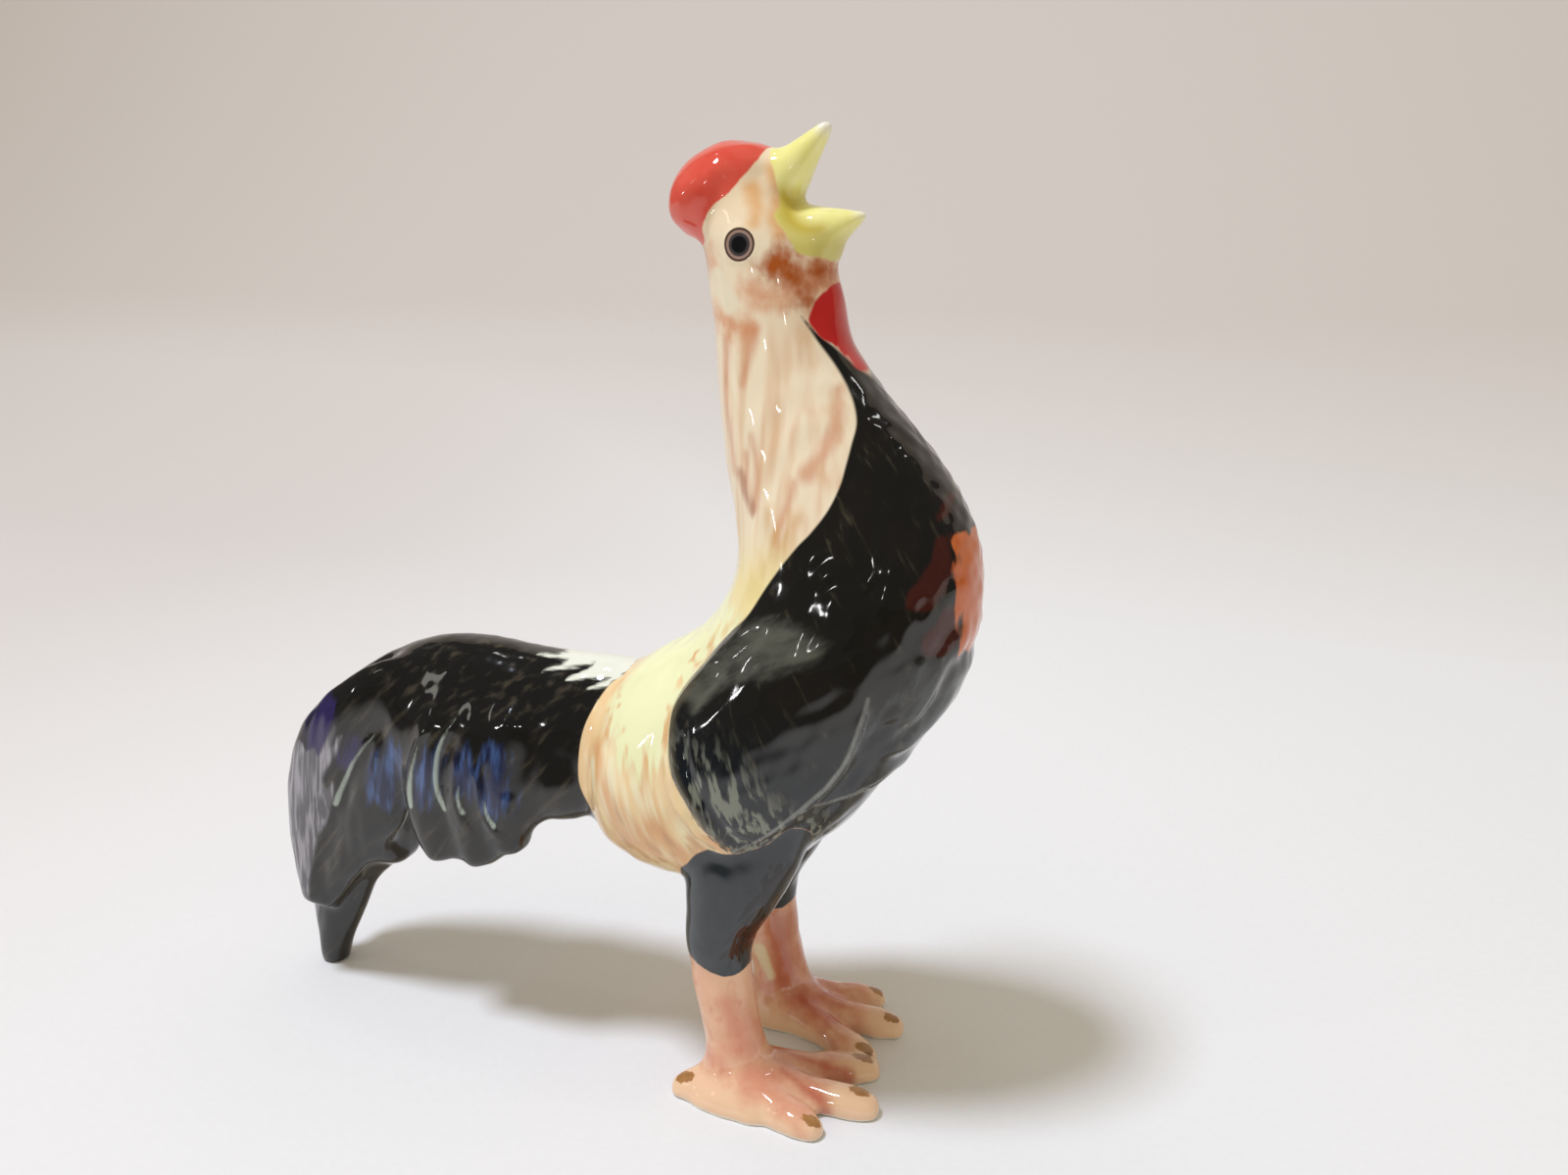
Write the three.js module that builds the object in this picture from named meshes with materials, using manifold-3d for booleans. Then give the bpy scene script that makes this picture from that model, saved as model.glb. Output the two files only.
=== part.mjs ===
// Porcelain rooster figurine, crowing with a raised head, in millimetres with +Z up.
// The bird faces +X, its right side is -Y, and it stands on both feet and on the tip of its tail.
// The body is built as the sections that are cast or rolled apart and luted together before firing.

import * as THREE from "three";
import { mergeVertices } from "three/addons/utils/BufferGeometryUtils.js";
import Module from "manifold-3d";

const wasm = await Module();
wasm.setup();

// Clearance of every luted seam
const SEAM = 0.3;

// Armature of the side view
const HIP_HEIGHT = 26;
const SHOULDER_RISE = 30;
const NECK_LENGTH = 22;
const TAIL_ROOT_REACH = 16;
const TAIL_REACH = 43.5;
const TAIL_RISE = 17.5;

// Widths across the bird
const BODY_WIDTH = 24.8;
const RUMP_WIDTH = 17.2;
const RUMP_BULGE = 3;
const NECK_WIDTH = 12.6;
const HEAD_WIDTH = 12.4;
const CROWN_BULGE = 2;

// Head fittings
const COMB_WIDTH = 10.6;
const COMB_DEPTH = 7.6;
const BEAK_WIDTH = 5.6;
const UPPER_BEAK_LENGTH = 6;
const UPPER_BEAK_LIFT = 0.83;
const UPPER_BEAK_TIP = 1.3;
const LOWER_BEAK_LENGTH = 4.4;
const LOWER_BEAK_LIFT = 0.36;
const LOWER_BEAK_TIP = 1;
const WATTLE_WIDTH = 6.4;
const WATTLE_DEPTH = 2.6;

// Wings, as slabs let into the flanks
const WING_RISE = 1.2;
const WING_LENGTH = 24.6;
const WING_HEIGHT = 16.5;
const WING_DEPTH = 7;
const WING_LEAN = 0.98;

// Tail feathers
const TAIL_ROOT_WIDTH = 12;
const TAIL_WIDTH = 14;
const CENTRE_SICKLE_WIDTH = 6.4;
const TAIL_TIP_WIDTH = 3.6;
const SICKLE_THICKNESS = 3.6;
const COVERT_THICKNESS = 4.4;
const COVERT_RISE = 0.9;

// Legs and feet
const LEG_SPREAD = 14;
const THIGH_WIDTH = 9.6;
const HIP_INSET = 0.95;
const SHANK_WIDTH = 5.8;
const SHANK_DEPTH = 6.5;
const KNEE_HEIGHT = 15;
const ANKLE_HEIGHT = 4.8;
const TENON_WIDTH = 3.2;
const TENON_LENGTH = 2.2;
const TOE_WIDTH = 3.6;
const TOE_HEIGHT = 2.3;
const INSTEP_HEIGHT = 5;
const WEB_HEIGHT = 2.6;
const INSTEP_PLACE = -2.4;
const MIDDLE_TOE_LENGTH = 15;
const OUTER_TOE_LENGTH = 12.4;
const INNER_TOE_LENGTH = 14.8;
const HIND_TOE_LENGTH = 7.2;
const OUTER_TOE_SPLAY = 0.38;
const INNER_TOE_SPLAY = 0.43;
const HIND_TOE_SPLAY = 0.42;

// Smoothness of the lofts
const TRUNK_SIDES = 26;
const LIMB_SIDES = 14;
const FEATHER_SIDES = 10;
const RINGS_PER_STATION = 2;
const DOME_RINGS = 3;
const FACET_TOLERANCE = 0.07;
const WING_STEPS = 44;
const SEAM_STEPS = 24;

// Lengths that follow from the driving dimensions
const SHOULDER_HEIGHT = HIP_HEIGHT + SHOULDER_RISE;
const HEAD_HEIGHT = SHOULDER_HEIGHT + NECK_LENGTH;
const TAIL_TOP = HIP_HEIGHT + TAIL_RISE;
const TAIL_END = -TAIL_ROOT_REACH - TAIL_REACH;
const CUTTER_WIDTH = 3 * BODY_WIDTH;
const CUTTER_HEIGHT = 2 * HEAD_HEIGHT;
const CUTTER_REACH = 2 * BODY_WIDTH;

const ACROSS = new THREE.Vector3(0, 1, 0);

const at = (x, y, z) => new THREE.Vector3(x, y, z);

const flat = (place) => new THREE.Vector2(place.x, place.z);

const mix = (from, to, share) => from + (to - from) * share;

// Points of the side view, each held by the part of the armature that carries it

const onBody = (x, z, y = 0) => at(x, y, HIP_HEIGHT + z);

const onNeck = (x, share, y = 0) => at(x, y, SHOULDER_HEIGHT + share * NECK_LENGTH);

const onHead = (x, z, y = 0) => at(x, y, HEAD_HEIGHT + z);

const onTail = (share, z, y = 0) => at(-TAIL_ROOT_REACH - share * TAIL_REACH, y, TAIL_TOP + z);

const onFall = (x, share, y = 0) => at(TAIL_END + x, y, share * TAIL_TOP);

// A station of a loft: the two ends of the section in the side view, its half width across
// and the squareness of its outline, where 2 is an ellipse
function station(back, front, half, square = 2) {
  return { back, front, half, square };
}

// The station at a place between the given ones, on smooth curves through all of them
function stationsBetween(stations, rings) {
  const backs = new THREE.CatmullRomCurve3(stations.map((s) => s.back));
  const fronts = new THREE.CatmullRomCurve3(stations.map((s) => s.front));
  const sizes = new THREE.CatmullRomCurve3(
    stations.map((s, index) => new THREE.Vector3(s.half, s.square, index)),
  );
  const dense = [];
  for (let ring = 0; ring <= rings; ring += 1) {
    const share = ring / rings;
    const size = sizes.getPoint(share);
    dense.push(station(backs.getPoint(share), fronts.getPoint(share), size.x, size.y));
  }
  return dense;
}

// The points of one section, scaled towards its centre and moved along the loft
function sectionRing(section, side, sides, scale, shift) {
  const centre = section.back.clone().add(section.front).multiplyScalar(0.5).add(shift);
  const reach = section.back.clone().sub(section.front).multiplyScalar(0.5 * scale);
  const ring = [];
  for (let index = 0; index < sides; index += 1) {
    const angle = (2 * Math.PI * index) / sides;
    const along = Math.sign(Math.cos(angle)) * Math.abs(Math.cos(angle)) ** (2 / section.square);
    const wide = Math.sign(Math.sin(angle)) * Math.abs(Math.sin(angle)) ** (2 / section.square);
    ring.push(
      centre
        .clone()
        .addScaledVector(reach, along)
        .addScaledVector(side, wide * section.half * scale),
    );
  }
  return ring;
}

// Rings that round one end of a loft off to a pole
function domeRings(section, outward, side, sides, depth) {
  const rings = [];
  for (let index = 1; index < DOME_RINGS; index += 1) {
    const angle = (0.5 * Math.PI * index) / DOME_RINGS;
    const shift = outward.clone().multiplyScalar(depth * Math.sin(angle));
    rings.push(sectionRing(section, side, sides, Math.cos(angle), shift));
  }
  return rings;
}

// The direction out of a loft's end: square to the section, on the side away from its neighbour
function endDirection(section, neighbour, side) {
  const outward = section.back.clone().sub(section.front).cross(side).normalize();
  const centre = section.back.clone().add(section.front);
  const inner = neighbour.back.clone().add(neighbour.front);
  return outward.dot(centre.sub(inner)) < 0 ? outward.negate() : outward;
}

// A closed solid through the stations, with a dome of its own depth on each end.
// grow widens it all round, for the clearance of what is cut to it.
function loft(stations, options = {}) {
  const { sides = LIMB_SIDES, side = ACROSS, domes = [1, 1], grow = 0 } = options;
  const wider = stationsBetween(stations, (stations.length - 1) * RINGS_PER_STATION);
  for (const section of wider) {
    const outward = section.back.clone().sub(section.front).normalize().multiplyScalar(grow);
    section.back.add(outward);
    section.front.sub(outward);
    section.half += grow;
  }
  const first = wider[0];
  const last = wider[wider.length - 1];
  const startOut = endDirection(first, wider[1], side);
  const endOut = endDirection(last, wider[wider.length - 2], side);
  const still = new THREE.Vector3();
  const rings = [
    ...domeRings(first, startOut, side, sides, domes[0] + grow).reverse(),
    ...wider.map((section) => sectionRing(section, side, sides, 1, still)),
    ...domeRings(last, endOut, side, sides, domes[1] + grow),
  ];
  const pole = (section, outward, depth) =>
    section.back
      .clone()
      .add(section.front)
      .multiplyScalar(0.5)
      .addScaledVector(outward, depth);
  return closedSolid(
    rings,
    pole(first, startOut, domes[0] + grow),
    pole(last, endOut, domes[1] + grow),
  );
}

// A solid from rings of equal count and the poles that close them
function closedSolid(rings, startPole, endPole) {
  const sides = rings[0].length;
  const points = [...rings.flat(), startPole, endPole];
  const start = rings.length * sides;
  const faces = [];
  for (let index = 0; index < sides; index += 1) {
    const next = (index + 1) % sides;
    const lastRing = (rings.length - 1) * sides;
    faces.push(start, next, index);
    faces.push(start + 1, lastRing + index, lastRing + next);
    for (let ring = 0; ring < rings.length - 1; ring += 1) {
      const low = ring * sides;
      const high = low + sides;
      faces.push(low + index, low + next, high + next);
      faces.push(low + index, high + next, high + index);
    }
  }
  const geometry = new THREE.BufferGeometry().setFromPoints(points);
  geometry.setIndex(faces);
  return solidOf(geometry);
}

// A solid of a closed geometry, turned outward where its faces point in
function solidOf(geometry) {
  geometry.deleteAttribute("normal");
  geometry.deleteAttribute("uv");
  const merged = mergeVertices(geometry, 1e-4);
  const vertProperties = new Float32Array(merged.attributes.position.array);
  const triVerts = new Uint32Array(merged.index.array);
  const solid = new wasm.Manifold(new wasm.Mesh({ numProp: 3, vertProperties, triVerts }));
  if (solid.volume() > 0) return solid;
  for (let index = 0; index < triVerts.length; index += 3) {
    [triVerts[index + 1], triVerts[index + 2]] = [triVerts[index + 2], triVerts[index + 1]];
  }
  return new wasm.Manifold(new wasm.Mesh({ numProp: 3, vertProperties, triVerts }));
}

// The outline moved outward by a distance, corner by corner
function movedOutline(outline, distance) {
  const clockwise = THREE.ShapeUtils.isClockWise(outline);
  return outline.map((point, index) => {
    const before = outline[(index + outline.length - 1) % outline.length];
    const after = outline[(index + 1) % outline.length];
    const arriving = point.clone().sub(before).normalize();
    const leaving = after.clone().sub(point).normalize();
    const normal = new THREE.Vector2(arriving.y + leaving.y, -arriving.x - leaving.x).normalize();
    const reach = distance / Math.max(0.5, normal.dot(new THREE.Vector2(arriving.y, -arriving.x)));
    return point.clone().addScaledVector(normal, clockwise ? -reach : reach);
  });
}

// A block with an outline of the side view, across the bird
function sideBlock(outline, grow = 0) {
  const shape = new THREE.Shape(movedOutline(outline, grow));
  const geometry = new THREE.ExtrudeGeometry(shape, { depth: CUTTER_WIDTH, bevelEnabled: false });
  geometry.translate(0, 0, -CUTTER_WIDTH / 2).rotateX(Math.PI / 2);
  return solidOf(geometry);
}

// A smooth line of the side view through the given places
function sideCurve(places) {
  return new THREE.SplineCurve(places.map(flat)).getPoints(SEAM_STEPS);
}

// A block that reaches past the whole figure and whose lowest face lies at a height
function blockAbove(height) {
  const geometry = new THREE.BoxGeometry(CUTTER_HEIGHT, CUTTER_WIDTH, CUTTER_HEIGHT);
  return solidOf(geometry.translate(0, 0, height + CUTTER_HEIGHT / 2));
}

// The space on one side of the middle plane, right (-1) or left (1), beyond a distance from it
function besideMiddle(sign, distance) {
  const geometry = new THREE.BoxGeometry(CUTTER_HEIGHT, CUTTER_WIDTH, 2 * CUTTER_HEIGHT);
  return solidOf(geometry.translate(0, sign * (CUTTER_WIDTH / 2 + distance), 0));
}

// The trunk: rump, body, breast, neck and skull in one run of sections

function trunkStations(wingRise = 0) {
  const body = (share) => BODY_WIDTH / 2 + wingRise * share;
  const rump = (share) => mix(RUMP_WIDTH, BODY_WIDTH, share) / 2 + wingRise;
  const toNeck = (share) => mix(BODY_WIDTH, NECK_WIDTH, share) / 2;
  const head = (share) => (HEAD_WIDTH / 2) * share;
  return [
    station(onBody(-15.2, 17.3), onBody(-17.4, -3.4), rump(0)),
    station(onBody(-11.8, 19.4), onBody(-12.5, -5), rump(0.55)),
    station(onBody(-8.9, 21.1), onBody(-5.6, -5), rump(0.85)),
    station(onBody(-6.9, 22.9), onBody(3.4, -1), body(1)),
    station(onBody(-5.3, 24.9), onBody(11, 7.4), body(0.9)),
    station(onBody(-4.1, 27.4), onBody(17, 16.4), body(0.5)),
    station(onNeck(-3.5, 0), onBody(19.6, 24.2), toNeck(0.12) + wingRise * 0.2),
    station(onNeck(-4, 0.2), onNeck(19.5, 0.07), toNeck(0.32)),
    station(onNeck(-4.9, 0.41), onNeck(16.6, 0.35), toNeck(0.58)),
    station(onNeck(-5.5, 0.61), onNeck(11.8, 0.62), toNeck(0.8)),
    station(onNeck(-5.8, 0.82), onNeck(7.8, 0.84), toNeck(0.95)),
    station(onHead(-6, 0), onHead(5.9, 0.4), toNeck(1)),
    station(onHead(-6.6, 4), onHead(5.4, 4.2), head(1)),
    station(onHead(-7, 7.4), onHead(3.4, 8), head(0.96)),
    station(onHead(-6.2, 10), onHead(1, 10.6), head(0.8)),
  ];
}

function trunk(grow = 0, wingRise = 0) {
  return loft(trunkStations(wingRise), {
    sides: TRUNK_SIDES,
    domes: [RUMP_BULGE, CROWN_BULGE],
    grow,
  });
}

// The regions of the side view that the trunk is parted into

function headRegion() {
  const jaw = sideCurve([
    onHead(-12, 0.4),
    onHead(-6, -0.7),
    onHead(0, -1.6),
    onHead(6, -1),
    onHead(12, 1),
  ]);
  return [
    ...jaw,
    flat(onHead(CUTTER_REACH, CUTTER_REACH)),
    flat(onHead(-CUTTER_REACH, CUTTER_REACH)),
    flat(onHead(-CUTTER_REACH, 0.4)),
  ];
}

function neckRegion() {
  const hackle = sideCurve([
    onHead(10, -1.5),
    onHead(8.8, -3.6),
    onNeck(9.3, 0.68),
    onNeck(8.6, 0.45),
    onNeck(6.4, 0.21),
    onBody(3.4, 30),
    onBody(-0.6, 25),
    onBody(-6, 22.6),
    onBody(-12, 24),
  ]);
  return [
    ...hackle,
    flat(onBody(-CUTTER_REACH, 26)),
    flat(onHead(-CUTTER_REACH, 4)),
    flat(onHead(10, 4)),
  ];
}

// The flank seam leaves the wing at its lowest point and goes on behind the thigh
function saddleRegion() {
  const lowest = wingOutline().reduce((low, point) => (point.y < low.y ? point : low));
  const flank = sideCurve([
    onBody(-1, 26.5),
    onBody(-2.6, 18),
    onBody(-2.8, 10),
    at(lowest.x, 0, lowest.y),
    onBody(-2, -2),
    onBody(-5, -9),
  ]);
  return [...flank, flat(onBody(-CUTTER_REACH, -9)), flat(onBody(-CUTTER_REACH, 26.5))];
}

// The comb: a smooth cap along the crown from the beak to the nape
function comb(grow = 0) {
  const half = COMB_WIDTH / 2;
  const cap = (x, z, angle, depth, share) => {
    const outer = onHead(x, z);
    const inward = at(Math.sin(angle), 0, -Math.cos(angle));
    return station(outer, outer.clone().addScaledVector(inward, depth), half * share);
  };
  return loft(
    [
      cap(0.6, 14.5, -0.3, 1.8, 0.35),
      cap(-1.6, 15.3, -0.1, 0.75 * COMB_DEPTH, 0.72),
      cap(-4.9, 15.6, 0.3, COMB_DEPTH, 0.96),
      cap(-8.2, 14.1, 0.75, COMB_DEPTH, 1),
      cap(-10.2, 11.3, 1.2, 0.9 * COMB_DEPTH, 0.94),
      cap(-10.1, 8.7, 1.5, 0.75 * COMB_DEPTH, 0.78),
      cap(-8.7, 7.1, 1.8, 0.5 * COMB_DEPTH, 0.5),
    ],
    { domes: [0.5, 0.5], grow },
  );
}

// One half of the open beak, from the root inside the head to the blunt tip
function beakHalf(shape, grow) {
  const { root, top, bottom, length, lift, tipHeight } = shape;
  const half = BEAK_WIDTH / 2;
  const heading = at(Math.cos(lift), 0, Math.sin(lift));
  const upright = at(-heading.z, 0, heading.x);
  const middle = top.clone().add(bottom).multiplyScalar(0.5);
  const tip = middle.clone().addScaledVector(heading, length - 0.5 * tipHeight);
  const section = (share, height, wide) => {
    const centre = middle.clone().lerp(tip, share);
    return station(
      centre.clone().addScaledVector(upright, height / 2),
      centre.clone().addScaledVector(upright, -height / 2),
      half * wide,
    );
  };
  const rootHeight = top.distanceTo(bottom);
  return loft(
    [
      { ...root, half },
      station(top, bottom, half),
      section(0.35, mix(rootHeight, tipHeight, 0.45), 0.8),
      section(0.7, mix(rootHeight, tipHeight, 0.75), 0.52),
      section(1, tipHeight, 0.27),
    ],
    { domes: [0.3, tipHeight / 2], grow },
  );
}

function upperBeak(grow = 0) {
  const shape = {
    root: station(onHead(-2.8, 12.2), onHead(-0.6, 8.6)),
    top: onHead(-0.7, 14.6),
    bottom: onHead(2.1, 10.4),
    length: UPPER_BEAK_LENGTH,
    lift: UPPER_BEAK_LIFT,
    tipHeight: UPPER_BEAK_TIP,
  };
  return beakHalf(shape, grow);
}

function lowerBeak(grow = 0) {
  const shape = {
    root: station(onHead(-0.4, 8.8), onHead(3.4, 4.4)),
    top: onHead(2.2, 9.9),
    bottom: onHead(5.9, 5.3),
    length: LOWER_BEAK_LENGTH,
    lift: LOWER_BEAK_LIFT,
    tipHeight: LOWER_BEAK_TIP,
  };
  return beakHalf(shape, grow);
}

// The wattle: a tongue let into the throat below the chin
function wattle(grow = 0) {
  const half = WATTLE_WIDTH / 2;
  const tongue = (x, z, depth, wide) =>
    station(onHead(x - depth, z), onHead(x, z), half * wide);
  return loft(
    [
      tongue(5.9, 3, 0.7 * WATTLE_DEPTH, 0.45),
      tongue(6.1, 1.5, WATTLE_DEPTH, 0.9),
      tongue(6.4, -0.6, WATTLE_DEPTH, 1),
      tongue(7.2, -2.7, WATTLE_DEPTH, 0.8),
      tongue(8.6, -4.4, 0.8 * WATTLE_DEPTH, 0.4),
    ],
    { domes: [0.5, 0.5], grow },
  );
}

// The wings: slabs let into the flanks, raised and blunt at the rear and flush in front

// The outline in shares of the wing's half length and half height, from the shoulder round the
// rear edge to the belly and back
const WING_PROFILE = [
  [0.82, 0.69],
  [0.55, 0.9],
  [0.22, 1],
  [-0.19, 0.98],
  [-0.54, 0.78],
  [-0.92, 0.09],
  [-1, -0.4],
  [-0.87, -0.71],
  [-0.53, -0.89],
  [-0.08, -1],
  [0.34, -0.98],
  [0.74, -0.76],
  [1, -0.2],
  [1, 0.26],
];

const WING_CENTRE = onBody(1.5, 15.4);

function wingOutline() {
  const along = at(Math.cos(WING_LEAN), 0, Math.sin(WING_LEAN));
  const over = at(-along.z, 0, along.x);
  const places = WING_PROFILE.map(([length, height]) =>
    WING_CENTRE.clone()
      .addScaledVector(along, (WING_LENGTH / 2) * length)
      .addScaledVector(over, (WING_HEIGHT / 2) * height),
  );
  const outline = new THREE.CatmullRomCurve3(places, true).getPoints(WING_STEPS);
  return outline.slice(0, -1).map(flat);
}

function wing(sign, grow = 0) {
  return trunk(grow, WING_RISE)
    .intersect(sideBlock(wingOutline(), grow))
    .intersect(besideMiddle(sign, BODY_WIDTH / 2 - WING_DEPTH - grow));
}

// The tail: a stout arch plugged into the rump, a centre sickle that falls to the floor,
// a pair of side sickles and a pair of coverts made of three curled feathers each

function tailArch(grow = 0) {
  const root = TAIL_ROOT_WIDTH / 2;
  const wide = TAIL_WIDTH / 2;
  return loft(
    [
      station(onTail(-0.08, -1.6), onTail(-0.05, -15), root * 0.85),
      station(onTail(0.02, -0.5), onTail(0.05, -17), root),
      station(onTail(0.12, -0.5), onTail(0.14, -17), mix(root, wide, 0.4)),
      station(onTail(0.26, -0.5), onTail(0.27, -18.8), mix(root, wide, 0.8)),
      station(onTail(0.4, -0.1), onTail(0.39, -20.2), wide),
      station(onTail(0.52, -0.7), onTail(0.5, -20.2), wide),
      station(onTail(0.61, -2.2), onTail(0.58, -19.4), wide * 0.93),
    ],
    { sides: TRUNK_SIDES, domes: [1, 2], grow },
  );
}

function centreSickle(grow = 0) {
  const half = CENTRE_SICKLE_WIDTH / 2;
  const tip = TAIL_TIP_WIDTH / 2;
  return loft(
    [
      station(onTail(0.6, -1.4), onTail(0.56, -12), half * 0.8),
      station(onFall(8.6, 0.86), onFall(16.5, 0.6), half),
      station(onFall(3.8, 0.72), onFall(14.6, 0.52), half),
      station(onFall(1.2, 0.56), onFall(13.6, 0.45), half),
      station(onFall(0.3, 0.42), onFall(13.8, 0.37), half * 0.92),
      station(onFall(0, 0.3), onFall(9.6, 0.28), mix(half, tip, 0.5)),
      station(onFall(0, 0.16), onFall(7, 0.17), mix(half, tip, 0.8)),
      station(onFall(0.6, 0.02), onFall(3.9, 0.02), tip),
      station(onFall(0.9, -0.06), onFall(3.2, -0.06), tip * 0.8),
    ],
    { grow },
  );
}

// The outer feather of a side sickle runs down the rear edge, the inner one lies against it
function sideSickle(sign, grow = 0) {
  const half = SICKLE_THICKNESS / 2;
  const inner = CENTRE_SICKLE_WIDTH / 2;
  const place = (sink) => sign * (inner + half * sink);
  const outerFeather = loft(
    [
      station(onTail(0.46, -3.4, place(-0.2)), onTail(0.48, -9, place(-0.2)), half * 0.7),
      station(onTail(0.58, -1.8, place(0.4)), onTail(0.6, -9.6, place(0.4)), half),
      station(onTail(0.7, -3.6, place(0.7)), onTail(0.7, -12.6, place(0.7)), half * 1.1),
      station(onFall(4.6, 0.76, place(0.6)), onFall(11.2, 0.59, place(0.6)), half),
      station(onFall(1.4, 0.58, place(0.4)), onFall(8, 0.47, place(0.4)), half),
      station(onFall(0.6, 0.4, place(0.2)), onFall(6, 0.37, place(0.2)), half * 0.9),
      station(onFall(1, 0.24, place(0)), onFall(4.4, 0.24, place(0)), half * 0.75),
    ],
    { grow, sides: FEATHER_SIDES, domes: [0.6, 1.2] },
  );
  const innerFeather = loft(
    [
      station(onTail(0.48, -6, place(-0.1)), onTail(0.42, -12, place(-0.1)), half * 0.8),
      station(onTail(0.59, -7, place(0.6)), onTail(0.51, -14, place(0.6)), half),
      station(onTail(0.68, -10, place(0.75)), onTail(0.57, -17, place(0.75)), half),
      station(onFall(9.6, 0.58, place(0.6)), onFall(16.8, 0.5, place(0.6)), half),
      station(onFall(7, 0.47, place(0.35)), onFall(13, 0.4, place(0.35)), half * 0.9),
      station(onFall(4.6, 0.34, place(0.1)), onFall(9, 0.31, place(0.1)), half * 0.8),
      station(onFall(2.6, 0.23, place(-0.1)), onFall(5.8, 0.22, place(-0.1)), half * 0.7),
    ],
    { grow, sides: FEATHER_SIDES, domes: [0.6, 0.9] },
  );
  return outerFeather.add(innerFeather);
}

// One covert feather: a bracket-shaped curl from the flank of the arch down to a lobe under it.
// Each level gives the two edges as shares of the tail's reach and the drop from its top.
function covertFeather(sign, levels, grow) {
  const half = COVERT_THICKNESS / 2;
  const flank = TAIL_WIDTH / 2 + COVERT_RISE;
  return loft(
    levels.map(([rear, front, drop, tilt, thick]) => {
      const y = sign * (flank - half * thick);
      return station(onTail(rear, drop + tilt, y), onTail(front, drop - tilt, y), half * thick);
    }),
    { grow, sides: FEATHER_SIDES, domes: [0.5, 1.2] },
  );
}

// The same bracket for every feather: bowed to the rear in the middle, tucked under at the foot
function covertLevels(start, width, drop) {
  return [
    [start - 0.025, start - 0.025 - width * 0.5, drop * 0.3, 1.1, 0.66],
    [start + 0.035, start + 0.035 - width, drop * 0.52, 0.9, 0.8],
    [start + 0.06, start + 0.06 - width * 1.1, drop * 0.74, 0, 1],
    [start + 0.05, start + 0.05 - width * 1.15, drop * 0.9, -0.7, 1.15],
    [start + 0.02, start + 0.02 - width * 0.85, drop, -0.8, 1],
  ];
}

function coverts(sign, grow = 0) {
  return covertFeather(sign, covertLevels(0.505, 0.125, -22.6), grow)
    .add(covertFeather(sign, covertLevels(0.395, 0.125, -22.4), grow))
    .add(covertFeather(sign, covertLevels(0.295, 0.11, -20.2), grow));
}

// A leg: thigh, shank and foot under each flank, with tenons across the knee and the ankle

const legMiddle = (sign) => (sign * LEG_SPREAD) / 2;

// The thigh's outer side follows the flank at the hip and comes in to the leg at the knee
const hipMiddle = (sign) => sign * (BODY_WIDTH / 2 - HIP_INSET - THIGH_WIDTH / 2);

function thigh(sign, grow = 0) {
  const y = legMiddle(sign);
  const hip = hipMiddle(sign);
  const half = THIGH_WIDTH / 2;
  const drumstick = mix(KNEE_HEIGHT, HIP_HEIGHT, 0.55);
  return loft(
    [
      station(onBody(-7, 5, 0.85 * hip), onBody(6.5, 7, 0.85 * hip), half),
      station(onBody(-7.6, -0.6, hip), onBody(4.6, 0.6, hip), half),
      station(at(-7.3, y, drumstick), at(1.8, y, drumstick), half * 0.9),
      station(at(-7.5, y, KNEE_HEIGHT + 2), at(-0.2, y, KNEE_HEIGHT + 2.8), half * 0.78),
      station(at(-7.2, y, KNEE_HEIGHT + 0.1), at(-0.6, y, KNEE_HEIGHT + 0.6), half * 0.68),
    ],
    { grow, domes: [1, 0.9] },
  );
}

function shankBone(sign) {
  const y = legMiddle(sign);
  const bone = (x, z, wide) =>
    station(
      at(x - (SHANK_DEPTH / 2) * wide, y, z),
      at(x + (SHANK_DEPTH / 2) * wide, y, z),
      (SHANK_WIDTH / 2) * wide,
    );
  return loft(
    [
      bone(-3.9, KNEE_HEIGHT + 0.8, 0.98),
      bone(-3.7, mix(ANKLE_HEIGHT, KNEE_HEIGHT, 0.75), 1),
      bone(-3.1, mix(ANKLE_HEIGHT, KNEE_HEIGHT, 0.4), 0.96),
      bone(-2.2, ANKLE_HEIGHT, 1.02),
      bone(-1.9, 0.5 * ANKLE_HEIGHT, 1.3),
      bone(-1.6, -1, 1.5),
    ],
    { domes: [0.3, 0.3] },
  );
}

// A peg across a seam, from its length below the height to its length above it
function tenon(sign, x, height, grow = 0) {
  const y = legMiddle(sign);
  const half = TENON_WIDTH / 2;
  const low = height - TENON_LENGTH;
  const high = height + TENON_LENGTH;
  return loft(
    [
      station(at(x - half, y, low), at(x + half, y, low), half),
      station(at(x - half, y, high), at(x + half, y, high), half),
    ],
    { grow, domes: [0.3, 0.3] },
  );
}

const kneeTenon = (sign, grow) => tenon(sign, -3.8, KNEE_HEIGHT, grow);

const ankleTenon = (sign, grow) => tenon(sign, -2.2, ANKLE_HEIGHT, grow);

function shank(sign) {
  return shankBone(sign)
    .subtract(thigh(sign, SEAM))
    .intersect(blockAbove(ANKLE_HEIGHT + SEAM))
    .add(kneeTenon(sign, 0))
    .add(ankleTenon(sign, 0));
}

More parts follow.
